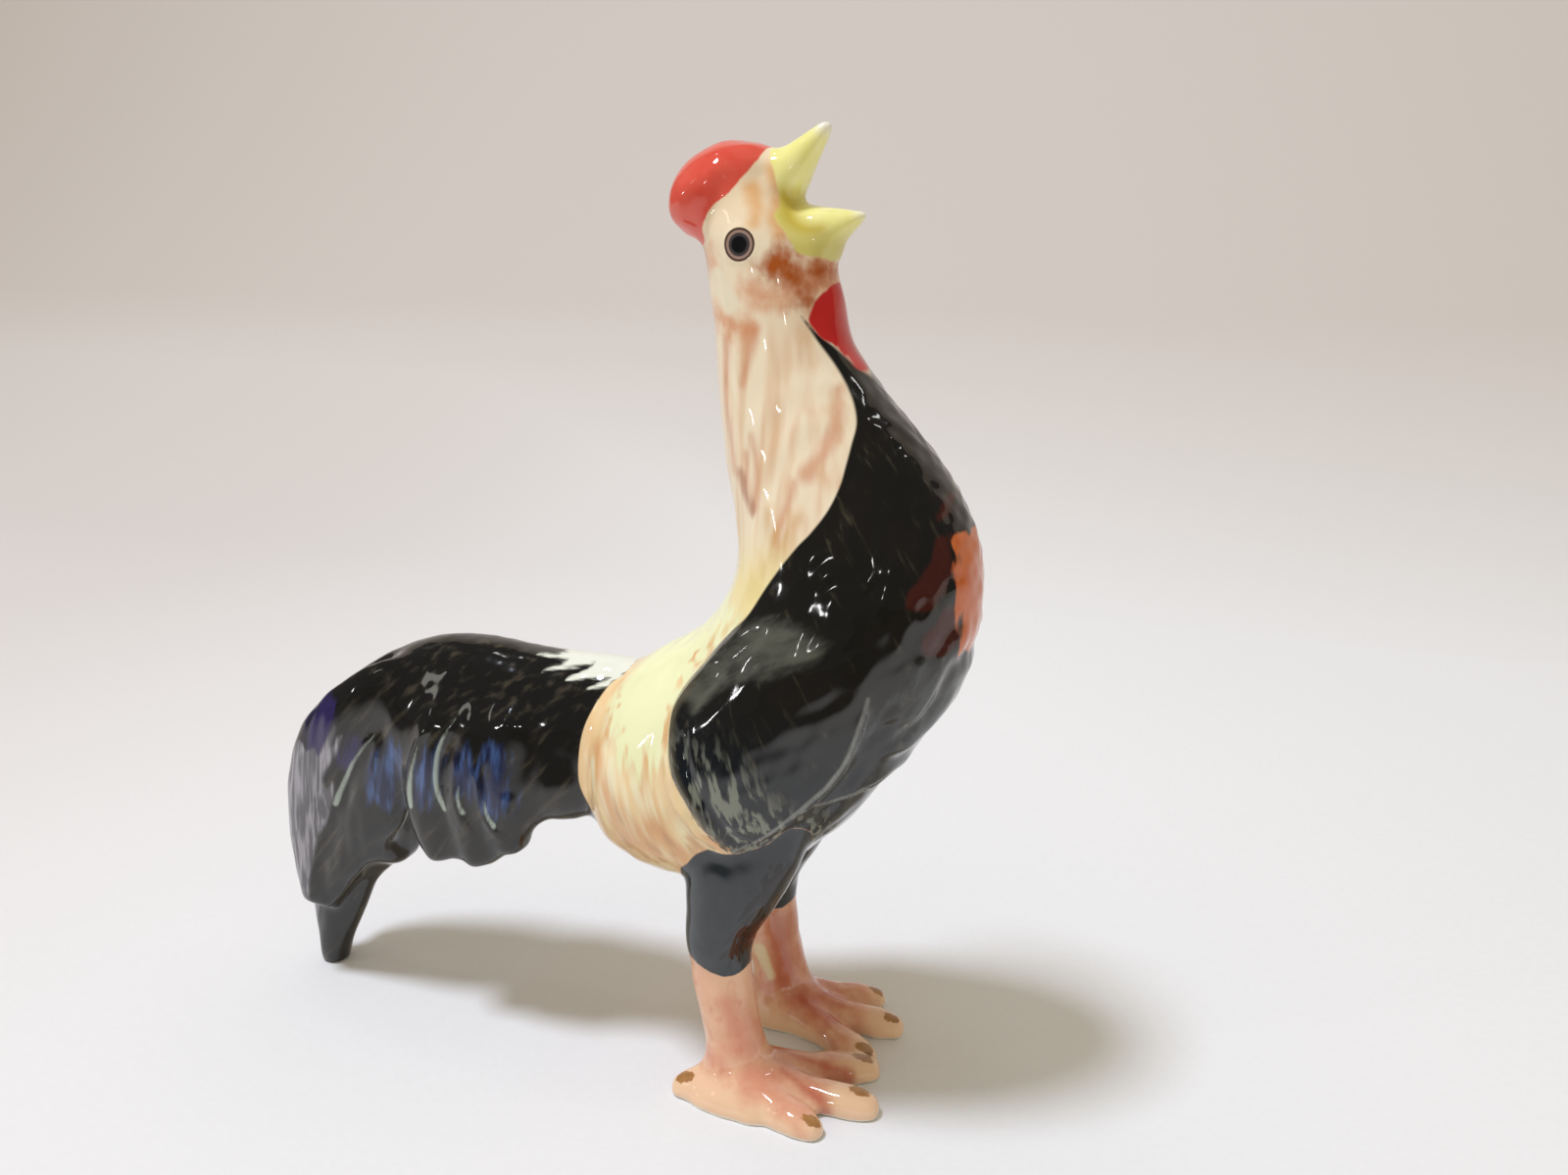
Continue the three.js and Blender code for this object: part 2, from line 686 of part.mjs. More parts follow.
// One toe, from the instep to a blunt tip, at an angle from straight ahead.
// It leaves the leg a shift to the outside, and its reach is counted from the leg's middle.
function toe(sign, angle, reach, shift) {
  const heading = at(Math.cos(angle), sign * Math.sin(angle), 0);
  const side = at(-heading.y, heading.x, 0);
  const heel = at(INSTEP_PLACE, legMiddle(sign) + sign * shift, 0);
  const half = TOE_WIDTH / 2;
  const section = (share, height, wide) => {
    const place = heel.clone().addScaledVector(heading, share * (reach - half));
    return station(place.clone().setZ(height), place.setZ(-0.4 * TOE_HEIGHT), half * wide, 2.3);
  };
  return loft(
    [
      section(0, INSTEP_HEIGHT, 1.25),
      section(0.3, mix(INSTEP_HEIGHT, TOE_HEIGHT, 0.45), 1.1),
      section(0.6, mix(INSTEP_HEIGHT, TOE_HEIGHT, 0.85), 0.92),
      section(0.85, TOE_HEIGHT * 1.05, 1),
      section(1, TOE_HEIGHT * 0.88, 0.76),
    ],
    { side, sides: FEATHER_SIDES, domes: [1.2, 0.6 * half] },
  );
}

// The low web that joins the roots of the toes
function toeWeb(sign) {
  const low = (x, shift, height, wide) => {
    const y = legMiddle(sign) + sign * shift;
    return station(at(x, y, height), at(x, y, -WEB_HEIGHT), TOE_WIDTH * wide, 2.4);
  };
  return loft(
    [
      low(-5, 1.6, WEB_HEIGHT, 0.8),
      low(-1, 0.8, 1.5 * WEB_HEIGHT, 1.15),
      low(1.6, 0.3, 1.2 * WEB_HEIGHT, 1.3),
      low(4, 0, 0.6 * WEB_HEIGHT, 1.25),
    ],
    { domes: [1, 0.8] },
  );
}

function foot(sign) {
  const ankle = shankBone(sign).subtract(blockAbove(ANKLE_HEIGHT));
  return ankle
    .add(toeWeb(sign))
    .add(toe(sign, 0, MIDDLE_TOE_LENGTH, 0))
    .add(toe(sign, OUTER_TOE_SPLAY, OUTER_TOE_LENGTH, 0.9))
    .add(toe(sign, -INNER_TOE_SPLAY, INNER_TOE_LENGTH, -0.6))
    .add(toe(sign, Math.PI - HIND_TOE_SPLAY, HIND_TOE_LENGTH, 0.6))
    .intersect(blockAbove(0))
    .intersect(besideMiddle(sign, SEAM / 2))
    .subtract(ankleTenon(sign, SEAM));
}

// Paints of the fired glaze, as they show on each section
const GLAZE = 0.16;

const PAINTS = {
  blackBreast: 0x1d1c18,
  yellowSaddle: 0xe6dc9e,
  creamNeck: 0xe2cca8,
  face: 0xd9b98e,
  redComb: 0xc63c2c,
  yellowBeak: 0xe9e485,
  wing: 0x25272a,
  tail: 0x26262a,
  blueTail: 0x2b3350,
  thigh: 0x3c4347,
  leg: 0xdda184,
};

const group = new THREE.Group();
group.name = "rooster_figurine";

// A named piece of the figurine in its own paint
function addPiece(name, solid, paint) {
  const mesh = solid.simplify(FACET_TOLERANCE).getMesh();
  const geometry = new THREE.BufferGeometry();
  geometry.setAttribute("position", new THREE.BufferAttribute(mesh.vertProperties, mesh.numProp));
  geometry.setIndex(new THREE.BufferAttribute(mesh.triVerts, 1));
  geometry.computeVertexNormals();
  const material = new THREE.MeshStandardMaterial({ color: paint, roughness: GLAZE, metalness: 0 });
  const piece = new THREE.Mesh(geometry, material);
  piece.name = name;
  group.add(piece);
}

// Trunk sections, each cut back by the clearance from the ones before it

function addTrunk() {
  const whole = trunk()
    .subtract(tailArch(SEAM))
    .subtract(comb(SEAM))
    .subtract(upperBeak(SEAM))
    .subtract(lowerBeak(SEAM))
    .subtract(wattle(SEAM))
    .subtract(wing(-1, SEAM))
    .subtract(wing(1, SEAM))
    .subtract(thigh(-1, SEAM))
    .subtract(thigh(1, SEAM));
  const belowHead = whole.subtract(sideBlock(headRegion(), SEAM));
  const belowNeck = belowHead.subtract(sideBlock(neckRegion(), SEAM));
  addPiece("breast", belowNeck.subtract(sideBlock(saddleRegion(), SEAM)), PAINTS.blackBreast);
  addPiece("saddle", belowNeck.intersect(sideBlock(saddleRegion())), PAINTS.yellowSaddle);
  addPiece("neck", belowHead.intersect(sideBlock(neckRegion())), PAINTS.creamNeck);
  addPiece("head", whole.intersect(sideBlock(headRegion())), PAINTS.face);
}

function addHeadFittings() {
  addPiece("comb", comb().subtract(upperBeak(SEAM)), PAINTS.redComb);
  addPiece("upper_beak", upperBeak(), PAINTS.yellowBeak);
  addPiece("lower_beak", lowerBeak().subtract(upperBeak(SEAM)), PAINTS.yellowBeak);
  addPiece("wattle", wattle(), PAINTS.redComb);
}

function addTail() {
  const arch = tailArch().subtract(coverts(-1, SEAM)).subtract(coverts(1, SEAM));
  addPiece("tail_arch", arch, PAINTS.tail);
  const fall = centreSickle().intersect(blockAbove(0)).subtract(tailArch(SEAM));
  addPiece("centre_sickle", fall, PAINTS.tail);
}

function addSide(sign, side) {
  addPiece(`${side}_wing`, wing(sign).subtract(thigh(sign, SEAM)), PAINTS.wing);
  const sickle = sideSickle(sign).subtract(tailArch(SEAM)).subtract(centreSickle(SEAM));
  addPiece(`${side}_sickle`, sickle, PAINTS.blueTail);
  const curls = coverts(sign).subtract(sideSickle(sign, SEAM)).subtract(centreSickle(SEAM));
  addPiece(`${side}_coverts`, curls, PAINTS.blueTail);
  addPiece(`${side}_thigh`, thigh(sign).subtract(kneeTenon(sign, SEAM)), PAINTS.thigh);
  addPiece(`${side}_shank`, shank(sign), PAINTS.leg);
  addPiece(`${side}_foot`, foot(sign), PAINTS.leg);
}

addTrunk();
addHeadFittings();
addTail();
addSide(-1, "right");
addSide(1, "left");

// The frame's origin is on the floor under the middle of the figure's box
const box = new THREE.Box3().setFromObject(group);
const middle = box.getCenter(new THREE.Vector3());
for (const piece of group.children) {
  piece.geometry.translate(-middle.x, 0, 0);
}

export default group;
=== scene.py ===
"""Porcelain rooster figurine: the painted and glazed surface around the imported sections.

The luted sections are fired under one continuous glaze. So they are fused into one skin, the joins
are softened as slip and glaze soften them, the feather relief is pressed in, and the skin is parted
again along the seams into one closed shell for each section. The paint is laid in the order in
which a painter lays it, from the cream ground to the claws.

Lengths are in millimetres up to the point where a skin becomes a Blender mesh, which is in metres.
Outlines, touches and folds are lines of the side view, as x and z. Among the brushes, a tint blends
two paints and a wobble frays the edge of an area.
"""

from __future__ import annotations

import logging
import math
from dataclasses import dataclass, field, replace
from enum import Enum
from typing import ClassVar, Sequence

import bmesh
import bpy
import numpy as np
from mathutils import Matrix, Vector
from mathutils.bvhtree import BVHTree


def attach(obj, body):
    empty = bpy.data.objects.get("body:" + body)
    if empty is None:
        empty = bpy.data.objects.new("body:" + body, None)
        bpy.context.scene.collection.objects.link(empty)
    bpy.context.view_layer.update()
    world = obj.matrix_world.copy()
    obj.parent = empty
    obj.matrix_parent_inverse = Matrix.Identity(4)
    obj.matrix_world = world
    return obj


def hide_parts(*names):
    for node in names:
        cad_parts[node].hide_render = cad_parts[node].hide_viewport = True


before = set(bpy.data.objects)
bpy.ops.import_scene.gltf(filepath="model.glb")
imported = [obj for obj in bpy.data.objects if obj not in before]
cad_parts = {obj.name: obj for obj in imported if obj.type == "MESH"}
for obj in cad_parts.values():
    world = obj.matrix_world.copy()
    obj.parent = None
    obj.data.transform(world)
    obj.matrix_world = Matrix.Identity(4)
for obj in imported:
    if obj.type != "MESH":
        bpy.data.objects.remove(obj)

log = logging.getLogger("rooster")

# One millimetre, in metres.
MM = 0.001
# The distance within which two corners of a packed section are one, in metres.
WELD = 1e-6
# How many times further than a flat place a sharp corner may be swollen.
CORNER_LIMIT = 1.5

Colour = tuple[float, float, float]
Place = tuple[float, float, float]
Span = tuple[float, float]
Outline = Sequence[tuple[float, float]]


class Slot(Enum):
    """The material slots of the record, one for each glaze of the figurine."""

    BREAST = "black_breast_glaze"
    SADDLE = "yellow_saddle_glaze"
    NECK = "cream_neck_glaze"
    FACE = "face_glaze"
    COMB = "red_comb_glaze"
    BEAK = "yellow_beak_glaze"
    WING = "wing_glaze"
    TAIL = "tail_glaze"
    BLUE_TAIL = "blue_tail_glaze"
    THIGH = "thigh_glaze"
    LEG = "leg_glaze"


@dataclass(frozen=True)
class Section:
    """One luted section.

    Attributes:
        node: The name of its node.
        slot: Its material slot.
        softness: How far the glaze softens its edges, in mm.
        wall: The thickness of its shell, in mm.
        puff: How far it is swollen while the sections are fused, in mm.
    """

    node: str
    slot: Slot
    softness: float
    wall: float = 0.8
    puff: float = 0.3


def both_sides(*names: str) -> list[str]:
    """Gives the nodes of the right and the left section of each plain name."""
    return [f"{side}_{name}" for side in ("right", "left") for name in names]


def paired(
    name: str, slot: Slot, softness: float, wall: float = 0.8, puff: float = 0.3
) -> list[Section]:
    """Gives the right and the left section of a pair.

    Args:
        name: The plain name that both share.
        slot: Their material slot.
        softness: How far the glaze softens their edges, in mm.
        wall: The thickness of their shell, in mm.
        puff: How far they are swollen while the sections are fused, in mm.

    Returns:
        Both sections.
    """
    return [Section(node, slot, softness, wall, puff) for node in both_sides(name)]


SECTIONS: list[Section] = [
    Section("breast", Slot.BREAST, 1.5),
    Section("saddle", Slot.SADDLE, 1.3),
    Section("neck", Slot.NECK, 1.5),
    Section("head", Slot.FACE, 1.3),
    Section("comb", Slot.COMB, 0.75),
    Section("upper_beak", Slot.BEAK, 0.4, 0.3),
    Section("lower_beak", Slot.BEAK, 0.4, 0.3),
    Section("wattle", Slot.COMB, 0.8),
    Section("tail_arch", Slot.TAIL, 1.3, 0.8, 0.35),
    Section("centre_sickle", Slot.TAIL, 0.9, 0.8, 0.35),
    *paired("wing", Slot.WING, 0.9),
    *paired("sickle", Slot.BLUE_TAIL, 0.9, 0.8, 0.35),
    *paired("coverts", Slot.BLUE_TAIL, 1.2, 0.8, 0.6),
    *paired("thigh", Slot.THIGH, 1.1),
    *paired("shank", Slot.LEG, 0.9),
    *paired("foot", Slot.LEG, 0.5, 0.5),
]


@dataclass(frozen=True)
class Pellet:
    """A pellet of clay pressed onto both sides of the figurine before its joins are softened.

    Attributes:
        centre: Its centre on the left side, in mm.
        radii: How far it reaches along x, y and z, in mm.
    """

    centre: Place
    radii: Place

    def press_on(self, work: bmesh.types.BMesh) -> None:
        """Adds the pellet and its mirror image to the pieces that are fused.

        Args:
            work: The pieces, in mm.
        """
        x, y, z = self.centre
        for side in (1, -1):
            place = Matrix.Translation((x, side * y, z)) @ Matrix.Diagonal((*self.radii, 1))
            bmesh.ops.create_icosphere(work, subdivisions=3, radius=1, matrix=place)


@dataclass(frozen=True)
class Swell:
    """A soft rise of the skin on both sides of the figurine.

    Attributes:
        centre: Its centre on the left side, in mm.
        radii: How far it spreads along x, y and z, in mm.
        height: How high it rises, in mm.
    """

    centre: Place
    radii: Place
    height: float

    def rise(self, places: np.ndarray) -> np.ndarray:
        """Gives the height that the swell adds.

        Args:
            places: Points in mm.

        Returns:
            The height at each point, in mm.
        """
        away = (mirrored(places) - np.array(self.centre)) / np.array(self.radii)
        return self.height * np.exp(-(away**2).sum(axis=1))


@dataclass(frozen=True)
class Bead:
    """A bead of clay along a line, or a groove where its height is negative.

    Attributes:
        height: Its height, in mm.
        depth: How far from the line its middle lies, in mm.
        width: Its half width, in mm.
    """

    height: float
    depth: float
    width: float

    def rise(self, depths: np.ndarray) -> np.ndarray:
        """Gives the height that the bead adds at each distance from the line, in mm."""
        return self.height * np.exp(-(((depths - self.depth) / self.width) ** 2))


@dataclass(frozen=True)
class Ripple:
    """The low waves that a hand leaves in clay, drawn out along one direction.

    Attributes:
        height: The height of the waves, in mm.
        length: The length of a wave along that direction, in mm.
        width: The length of a wave across it, in mm.
        lean: The direction in the side view, in degrees back from upright.
        seed: Which waves.
        count: How many waves are laid over each other.
        pace: How much shorter or longer than a wave of that length they are.
        peak: How many usual deviations of their sum make the full height.
    """

    height: float
    length: float
    width: float
    lean: float
    seed: int
    count: int = 28
    pace: Span = (0.6, 1.5)
    peak: float = 1.5

    def rise(self, places: np.ndarray) -> np.ndarray:
        """Gives the height that the waves add.

        Args:
            places: Points in mm.

        Returns:
            The height at each point, mostly within the height of the waves.
        """
        chance = np.random.default_rng(self.seed)
        turn = math.radians(self.lean)
        along = places[:, 0] * math.sin(turn) + places[:, 2] * math.cos(turn)
        across = places[:, 0] * math.cos(turn) - places[:, 2] * math.sin(turn)
        outward = np.abs(places[:, 1])
        scaled = np.column_stack([along / self.length, across / self.width, outward / self.width])
        total = np.zeros(len(places))
        for _ in range(self.count):
            course = chance.normal(size=3)
            course *= chance.uniform(*self.pace) / np.linalg.norm(course)
            total += np.cos(2 * math.pi * (scaled @ course + chance.uniform()))
        return self.height * total * math.sqrt(2 / self.count) / self.peak


def mirrored(places: np.ndarray) -> np.ndarray:
    """Brings each place over to the left side of the figurine."""
    return np.column_stack([places[:, 0], np.abs(places[:, 1]), places[:, 2]])


def smooth_step(value: np.ndarray, low: float, high: float) -> np.ndarray:
    """Rises smoothly from 0 at low to 1 at high.

    Args:
        value: The values to place.
        low: Where the rise starts.
        high: Where the rise ends.

    Returns:
        The shares, from 0 to 1.
    """
    share = np.clip((value - low) / (high - low), 0, 1)
    return share * share * (3 - 2 * share)


def rounded(line: Outline, closed: bool = False, steps: int = 6) -> np.ndarray:
    """Runs a smooth curve through the points of a side view line.

    Args:
        line: The points, as x and z in mm.
        closed: Whether the last point joins the first.
        steps: How many short pieces replace each long one.

    Returns:
        The points of the curve.
    """
    points = np.array(line, float)
    if closed:
        points = np.vstack([points[-1], points, points[0], points[1]])
    else:
        points = np.vstack([2 * points[0] - points[1], points, 2 * points[-1] - points[-2]])
    shares = np.linspace(0, 1, steps, endpoint=False)[:, None]
    runs = []
    for before, start, end, after in zip(points, points[1:], points[2:], points[3:]):
        bend = 2 * before - 5 * start + 4 * end - after
        twist = 3 * start - before - 3 * end + after
        course = 2 * start + (end - before) * shares + bend * shares**2 + twist * shares**3
        runs.append(course / 2)
    if not closed:
        runs.append(points[-2][None, :])
    return np.vstack(runs)


def side_distance(
    places: np.ndarray, line: np.ndarray
) -> tuple[np.ndarray, np.ndarray, np.ndarray]:
    """Measures each place against a line of the side view.

    Args:
        places: Points as x, y and z in mm, of which y is left out.
        line: The points of the line, as x and z in mm.

    Returns:
        The distance, the share of the line's length at the nearest point, and the side: 1 on the
        left of the line's run and -1 on the right.
    """
    flat = places[:, [0, 2]]
    best = np.full(len(flat), np.inf)
    share = np.zeros(len(flat))
    side = np.ones(len(flat))
    lengths = np.linalg.norm(np.diff(line, axis=0), axis=1)
    starts = np.concatenate([[0], np.cumsum(lengths)])
    for index, (start, end) in enumerate(zip(line, line[1:])):
        run = end - start
        away = flat - start
        along = np.clip(away @ run / (run @ run), 0, 1)
        gap = np.linalg.norm(away - along[:, None] * run, axis=1)
        turn = run[0] * away[:, 1] - run[1] * away[:, 0]
        nearer = gap < best
        best[nearer] = gap[nearer]
        share[nearer] = (starts[index] + along[nearer] * lengths[index]) / starts[-1]
        side[nearer] = np.where(turn[nearer] >= 0, 1, -1)
    return best, share, side


def inside_distance(places: np.ndarray, outline: np.ndarray) -> np.ndarray:
    """Measures how deep each place lies inside a closed outline of the side view.

    Args:
        places: Points as x, y and z in mm, of which y is left out.
        outline: The points of the outline, as x and z in mm.

    Returns:
        The distance to the outline, negative outside it.
    """
    ring = np.vstack([outline, outline[:1]])
    gap = side_distance(places, ring)[0]
    inside = np.zeros(len(places), bool)
    for (x0, z0), (x1, z1) in zip(ring, ring[1:]):
        spans = (z0 > places[:, 2]) != (z1 > places[:, 2])
        if z0 == z1:
            continue
        crossing = x0 + (places[:, 2] - z0) * (x1 - x0) / (z1 - z0)
        inside ^= spans & (places[:, 0] < crossing)
    return np.where(inside, gap, -gap)


@dataclass
class Skin:
    """The fused outer surface of the figurine, in mm, with the fields that the paint reads.

    Attributes:
        voxel: The size of the cells that the sections are fused at.
        toe_gap: How far the feet are held apart while the sections are fused.
        foot_top: The height over which that shift comes up, from none to all.
        heel: How far forward it starts.
        neighbours: How many neighbours of a point are heard at most.
        rounds: How many rounds of averaging spread a value over one cell.
        give: How far a point moves to its neighbours' average in one round.
        blend: How soft the borders between the sections are.
        easings: In how many steps the swelling is taken off.
        points: The places of its points.
        mesh: The mesh that joins them.
        ring: The neighbours of each point.
        known: How many of those are real ones.
        label: The section of each point.
        shares: How far each point belongs to each section.
        fields: What the paint reads at each point, by name.
    """

    voxel: float = 0.3
    toe_gap: float = 0.7
    foot_top: Span = (15.0, 6.0)
    heel: float = 8.0
    neighbours: int = 6
    rounds: int = 4
    give: float = 0.5
    blend: float = 0.9
    easings: int = 2
    points: np.ndarray = field(init=False)
    mesh: bpy.types.Mesh = field(init=False)
    ring: np.ndarray = field(init=False)
    known: np.ndarray = field(init=False)
    label: np.ndarray = field(init=False)
    shares: np.ndarray = field(init=False)
    fields: dict[str, np.ndarray] = field(default_factory=dict)

    def foot_shift(self, places: np.ndarray) -> np.ndarray:
        """Says how far outward each place of the legs is held while the sections are fused.

        Args:
            places: Points in mm.

        Returns:
            The shift along y of each point.
        """
        low = smooth_step(places[:, 2], *self.foot_top)
        return np.sign(places[:, 1]) * self.toe_gap * low * (places[:, 0] > self.heel)

    @staticmethod
    def swollen(section: Section) -> bpy.types.Mesh:
        """Makes a swollen copy of a section, in mm, so that it closes its seams.

        Args:
            section: The section.

        Returns:
            The copy's mesh.
        """
        work = bmesh.new()
        work.from_mesh(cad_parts[section.node].data)
        bmesh.ops.remove_doubles(work, verts=work.verts, dist=WELD)
        bmesh.ops.scale(work, vec=Vector((1, 1, 1)) / MM, verts=work.verts)
        work.normal_update()
        factors = [min(CORNER_LIMIT, v.calc_shell_factor()) for v in work.verts]
        moves = [v.normal * section.puff * f for v, f in zip(work.verts, factors)]
        for vertex, move in zip(work.verts, moves):
            vertex.co += move
        mesh = bpy.data.meshes.new(section.node)
        work.to_mesh(mesh)
        work.free()
        return mesh

    def fuse(self, pellets: Sequence[Pellet]) -> None:
        """Fuses the swollen sections into one skin and finds the neighbours of each point.

        Args:
            pellets: The pellets of clay that are pressed onto the sections.
        """
        joined = bmesh.new()
        for section in SECTIONS:
            joined.from_mesh(self.swollen(section))
        for pellet in pellets:
            pellet.press_on(joined)
        mesh = bpy.data.meshes.new("fused")
        joined.to_mesh(mesh)
        joined.free()
        places = read_points(mesh)
        places[:, 1] += self.foot_shift(places)
        mesh.vertices.foreach_set("co", places.astype(np.float32).ravel())
        body = bpy.data.objects.new("fused", mesh)
        bpy.context.scene.collection.objects.link(body)
        remesh = body.modifiers.new("fuse", "REMESH")
        remesh.mode = "VOXEL"
        remesh.voxel_size = self.voxel
        self.mesh = evaluated_mesh(body)
        bpy.data.objects.remove(body)
        self.points = read_points(self.mesh)
        self.link_points()

    def link_points(self) -> None:
        """Lists the neighbours of each point in a table padded with the point itself."""
        edges = np.zeros(2 * len(self.mesh.edges), np.int32)
        self.mesh.edges.foreach_get("vertices", edges)
        edges = edges.reshape(-1, 2)
        both = np.vstack([edges, edges[:, ::-1]])
        both = both[np.argsort(both[:, 0], kind="stable")]
        count = np.bincount(both[:, 0], minlength=len(self.points))
        first = np.concatenate([[0], np.cumsum(count)[:-1]])
        rank = np.arange(len(both)) - first[both[:, 0]]
        keep = rank < self.neighbours
        self.ring = np.tile(np.arange(len(self.points))[:, None], (1, self.neighbours))
        self.ring[both[keep, 0], rank[keep]] = both[keep, 1]
        self.known = np.minimum(count, self.neighbours).astype(np.float32)

    def relaxed(
        self, values: np.ndarray, reach: float, share: np.ndarray | float = 1.0
    ) -> np.ndarray:
        """Averages values over the surface.

        Args:
            values: One row for each point.
            reach: The distance that the average spreads over, in mm.
            share: How much of that each point takes part in.

        Returns:
            The averaged values.
        """
        result = values.astype(np.float32)
        single = result.ndim == 1
        if single:
            result = result[:, None]
        rounds = math.ceil(self.rounds * (reach / self.voxel) ** 2)
        share = np.broadcast_to(np.asarray(share, np.float32), (len(result),))
        weight = share[:, None] * self.give
        padding = self.neighbours - self.known[:, None]
        for _ in range(rounds):
            total = result[self.ring].sum(axis=1) - padding * result
            result = result + weight * (total / self.known[:, None] - result)
        return result[:, 0] if single else result

    def name_points(self) -> None:
        """Finds the section that each point belongs to, with smooth borders between them."""
        corners: list[Vector] = []
        faces: list[tuple[int, ...]] = []
        owner: list[int] = []
        for number, section in enumerate(SECTIONS):
            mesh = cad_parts[section.node].data
            base = len(corners)
            corners.extend(vertex.co / MM for vertex in mesh.vertices)
            faces.extend(tuple(base + i for i in face.vertices) for face in mesh.polygons)
            owner.extend([number] * len(mesh.polygons))
        tree = BVHTree.FromPolygons(corners, faces)
        places = self.points.copy()
        places[:, 1] -= self.foot_shift(places)
        near = [owner[tree.find_nearest(Vector(place))[2]] for place in places]
        marks = np.zeros((len(places), len(SECTIONS)), np.float32)
        marks[np.arange(len(places)), near] = 1
        self.shares = self.relaxed(marks, self.blend)
        self.label = self.shares.argmax(axis=1)

    def share_of(self, *names: str) -> np.ndarray:
        """Gives the smoothed share of the named sections at each point.

        Args:
            names: The sections' nodes.

        Returns:
            The shares, 0.5 on the border.
        """
        columns = [i for i, section in enumerate(SECTIONS) if section.node in names]
        return self.shares[:, columns].sum(axis=1)

    def soften(self) -> None:
        """Rounds facets and joins off as far as each section asks, and keeps the full form."""
        softness = self.shares @ np.array([s.softness for s in SECTIONS], np.float32)
        largest = max(section.softness for section in SECTIONS)
        share = (softness / largest) ** 2
        once = self.relaxed(self.points, largest, share)
        self.points = once + self.relaxed(self.points - once, largest, share)

    def settle(self) -> None:
        """Takes the swelling off again, brings the feet back and flattens what stands."""
        puff = self.shares @ np.array([section.puff for section in SECTIONS], np.float32)
        for _ in range(self.easings):
            self.points = self.points - puff[:, None] / self.easings * self.normals()
            self.points = self.relaxed(self.points, self.voxel)
        self.points[:, 1] -= self.foot_shift(self.points)
        self.stand()

    def stand(self) -> None:
        """Flattens what stands on the floor."""
        self.points[:, 2] = np.maximum(self.points[:, 2], 0)

    def normals(self) -> np.ndarray:
        """Gives the direction out of the skin at each point.

        Returns:
            One direction for each point, of length 1.
        """
        self.mesh.vertices.foreach_set("co", self.points.astype(np.float32).ravel())
        self.mesh.update()
        result = np.zeros(3 * len(self.points), np.float32)
        self.mesh.vertices.foreach_get("normal", result)
        return result.reshape(-1, 3)

    def press(self, height: np.ndarray) -> None:
        """Raises the skin, or presses it in where the height is negative.

        Args:
            height: The height at each point, in mm.
        """
        self.points = self.points + height[:, None] * self.normals()

    def smooth(self, thumbs: Sequence[Swell], reach: float) -> None:
        """Smooths the skin where a thumb has gone over it.

        Args:
            thumbs: The places, of which the height is the share that is smoothed.
            reach: How far each thumb evens out, in mm.
        """
        share = np.clip(sum(thumb.rise(self.points) for thumb in thumbs), 0, 1)
        self.points = self.relaxed(self.points, reach, share)

    def mark_area(self, name: str, outline: Outline, steps: int = 6) -> None:
        """Marks the depth inside an outline of the side view.

        Args:
            name: The name of the field.
            outline: The points of the outline, as x and z in mm.
            steps: How many short pieces replace each long one.
        """
        line = rounded(outline, closed=True, steps=steps)
        self.fields[name] = inside_distance(self.points, line)

    def mark_touches(self, name: str, touches: Sequence[Touch]) -> None:
        """Marks the depth inside the nearest of some touches of the brush."""
        self.fields[name] = touched(self.points, touches)

    def parted(self) -> dict[str, bpy.types.Object]:
        """Parts the skin along its seams into one closed shell for each section.

        Returns:
            The shells by the name of their section's node.
        """
        normals = self.normals()
        corners = np.zeros(len(self.mesh.loops), np.int32)
        self.mesh.loops.foreach_get("vertex_index", corners)
        faces = corners.reshape(-1, 4)
        owner = self.label[faces[:, 0]]
        shells = {}
        for number, section in enumerate(SECTIONS):
            used, patch = np.unique(faces[owner == number], return_inverse=True)
            shells[section.node] = self.shell(section, used, patch.reshape(-1, 4), normals)
        return shells

    def shell(
        self, section: Section, used: np.ndarray, patch: np.ndarray, normals: np.ndarray
    ) -> bpy.types.Object:
        """Makes the closed shell of one section from its patch of skin.

        Args:
            section: The section.
            used: The points of its patch.
            patch: The corners of its faces, as places in that list.
            normals: The directions out of the whole skin.

        Returns:
            The shell, shaded as the whole skin is, so that no seam shows.
        """
        count = len(used)
        outer = self.points[used]
        inner = outer - section.wall * normals[used]
        edges = np.vstack([patch[:, [i, (i + 1) % 4]] for i in range(4)])
        keys = edges[:, 0].astype(np.int64) * count + edges[:, 1]
        back = edges[:, 1].astype(np.int64) * count + edges[:, 0]
        rim = edges[~np.isin(keys, back)]
        walls = np.column_stack([rim[:, 1], rim[:, 0], rim[:, 0] + count, rim[:, 1] + count])
        faces = np.vstack([patch, patch[:, ::-1] + count, walls])
        mesh = bpy.data.meshes.new(f"glazed_{section.node}")
        mesh.from_pydata((np.vstack([outer, inner]) * MM).tolist(), [], faces.tolist())
        for name, values in self.fields.items():
            layer = mesh.attributes.new(name, "FLOAT", "POINT")
            layer.data.foreach_set("value", np.tile(values[used], 2).astype(np.float32))
        mesh.shade_smooth()
        shading = np.vstack([normals[used], -normals[used]])
        mesh.normals_split_custom_set_from_vertices(shading.tolist())
        return bpy.data.objects.new(mesh.name, mesh)


def read_points(mesh: bpy.types.Mesh) -> np.ndarray:
    """Reads the places of a mesh's vertices.

    Args:
        mesh: The mesh.

    Returns:
        One place for each vertex.
    """
    places = np.zeros(3 * len(mesh.vertices), np.float32)
    mesh.vertices.foreach_get("co", places)
    return places.reshape(-1, 3).astype(float)


def evaluated_mesh(thing: bpy.types.Object) -> bpy.types.Mesh:
    """Gives a new mesh of an object with its modifiers applied."""
    seen = thing.evaluated_get(bpy.context.evaluated_depsgraph_get())
    return bpy.data.meshes.new_from_object(seen)


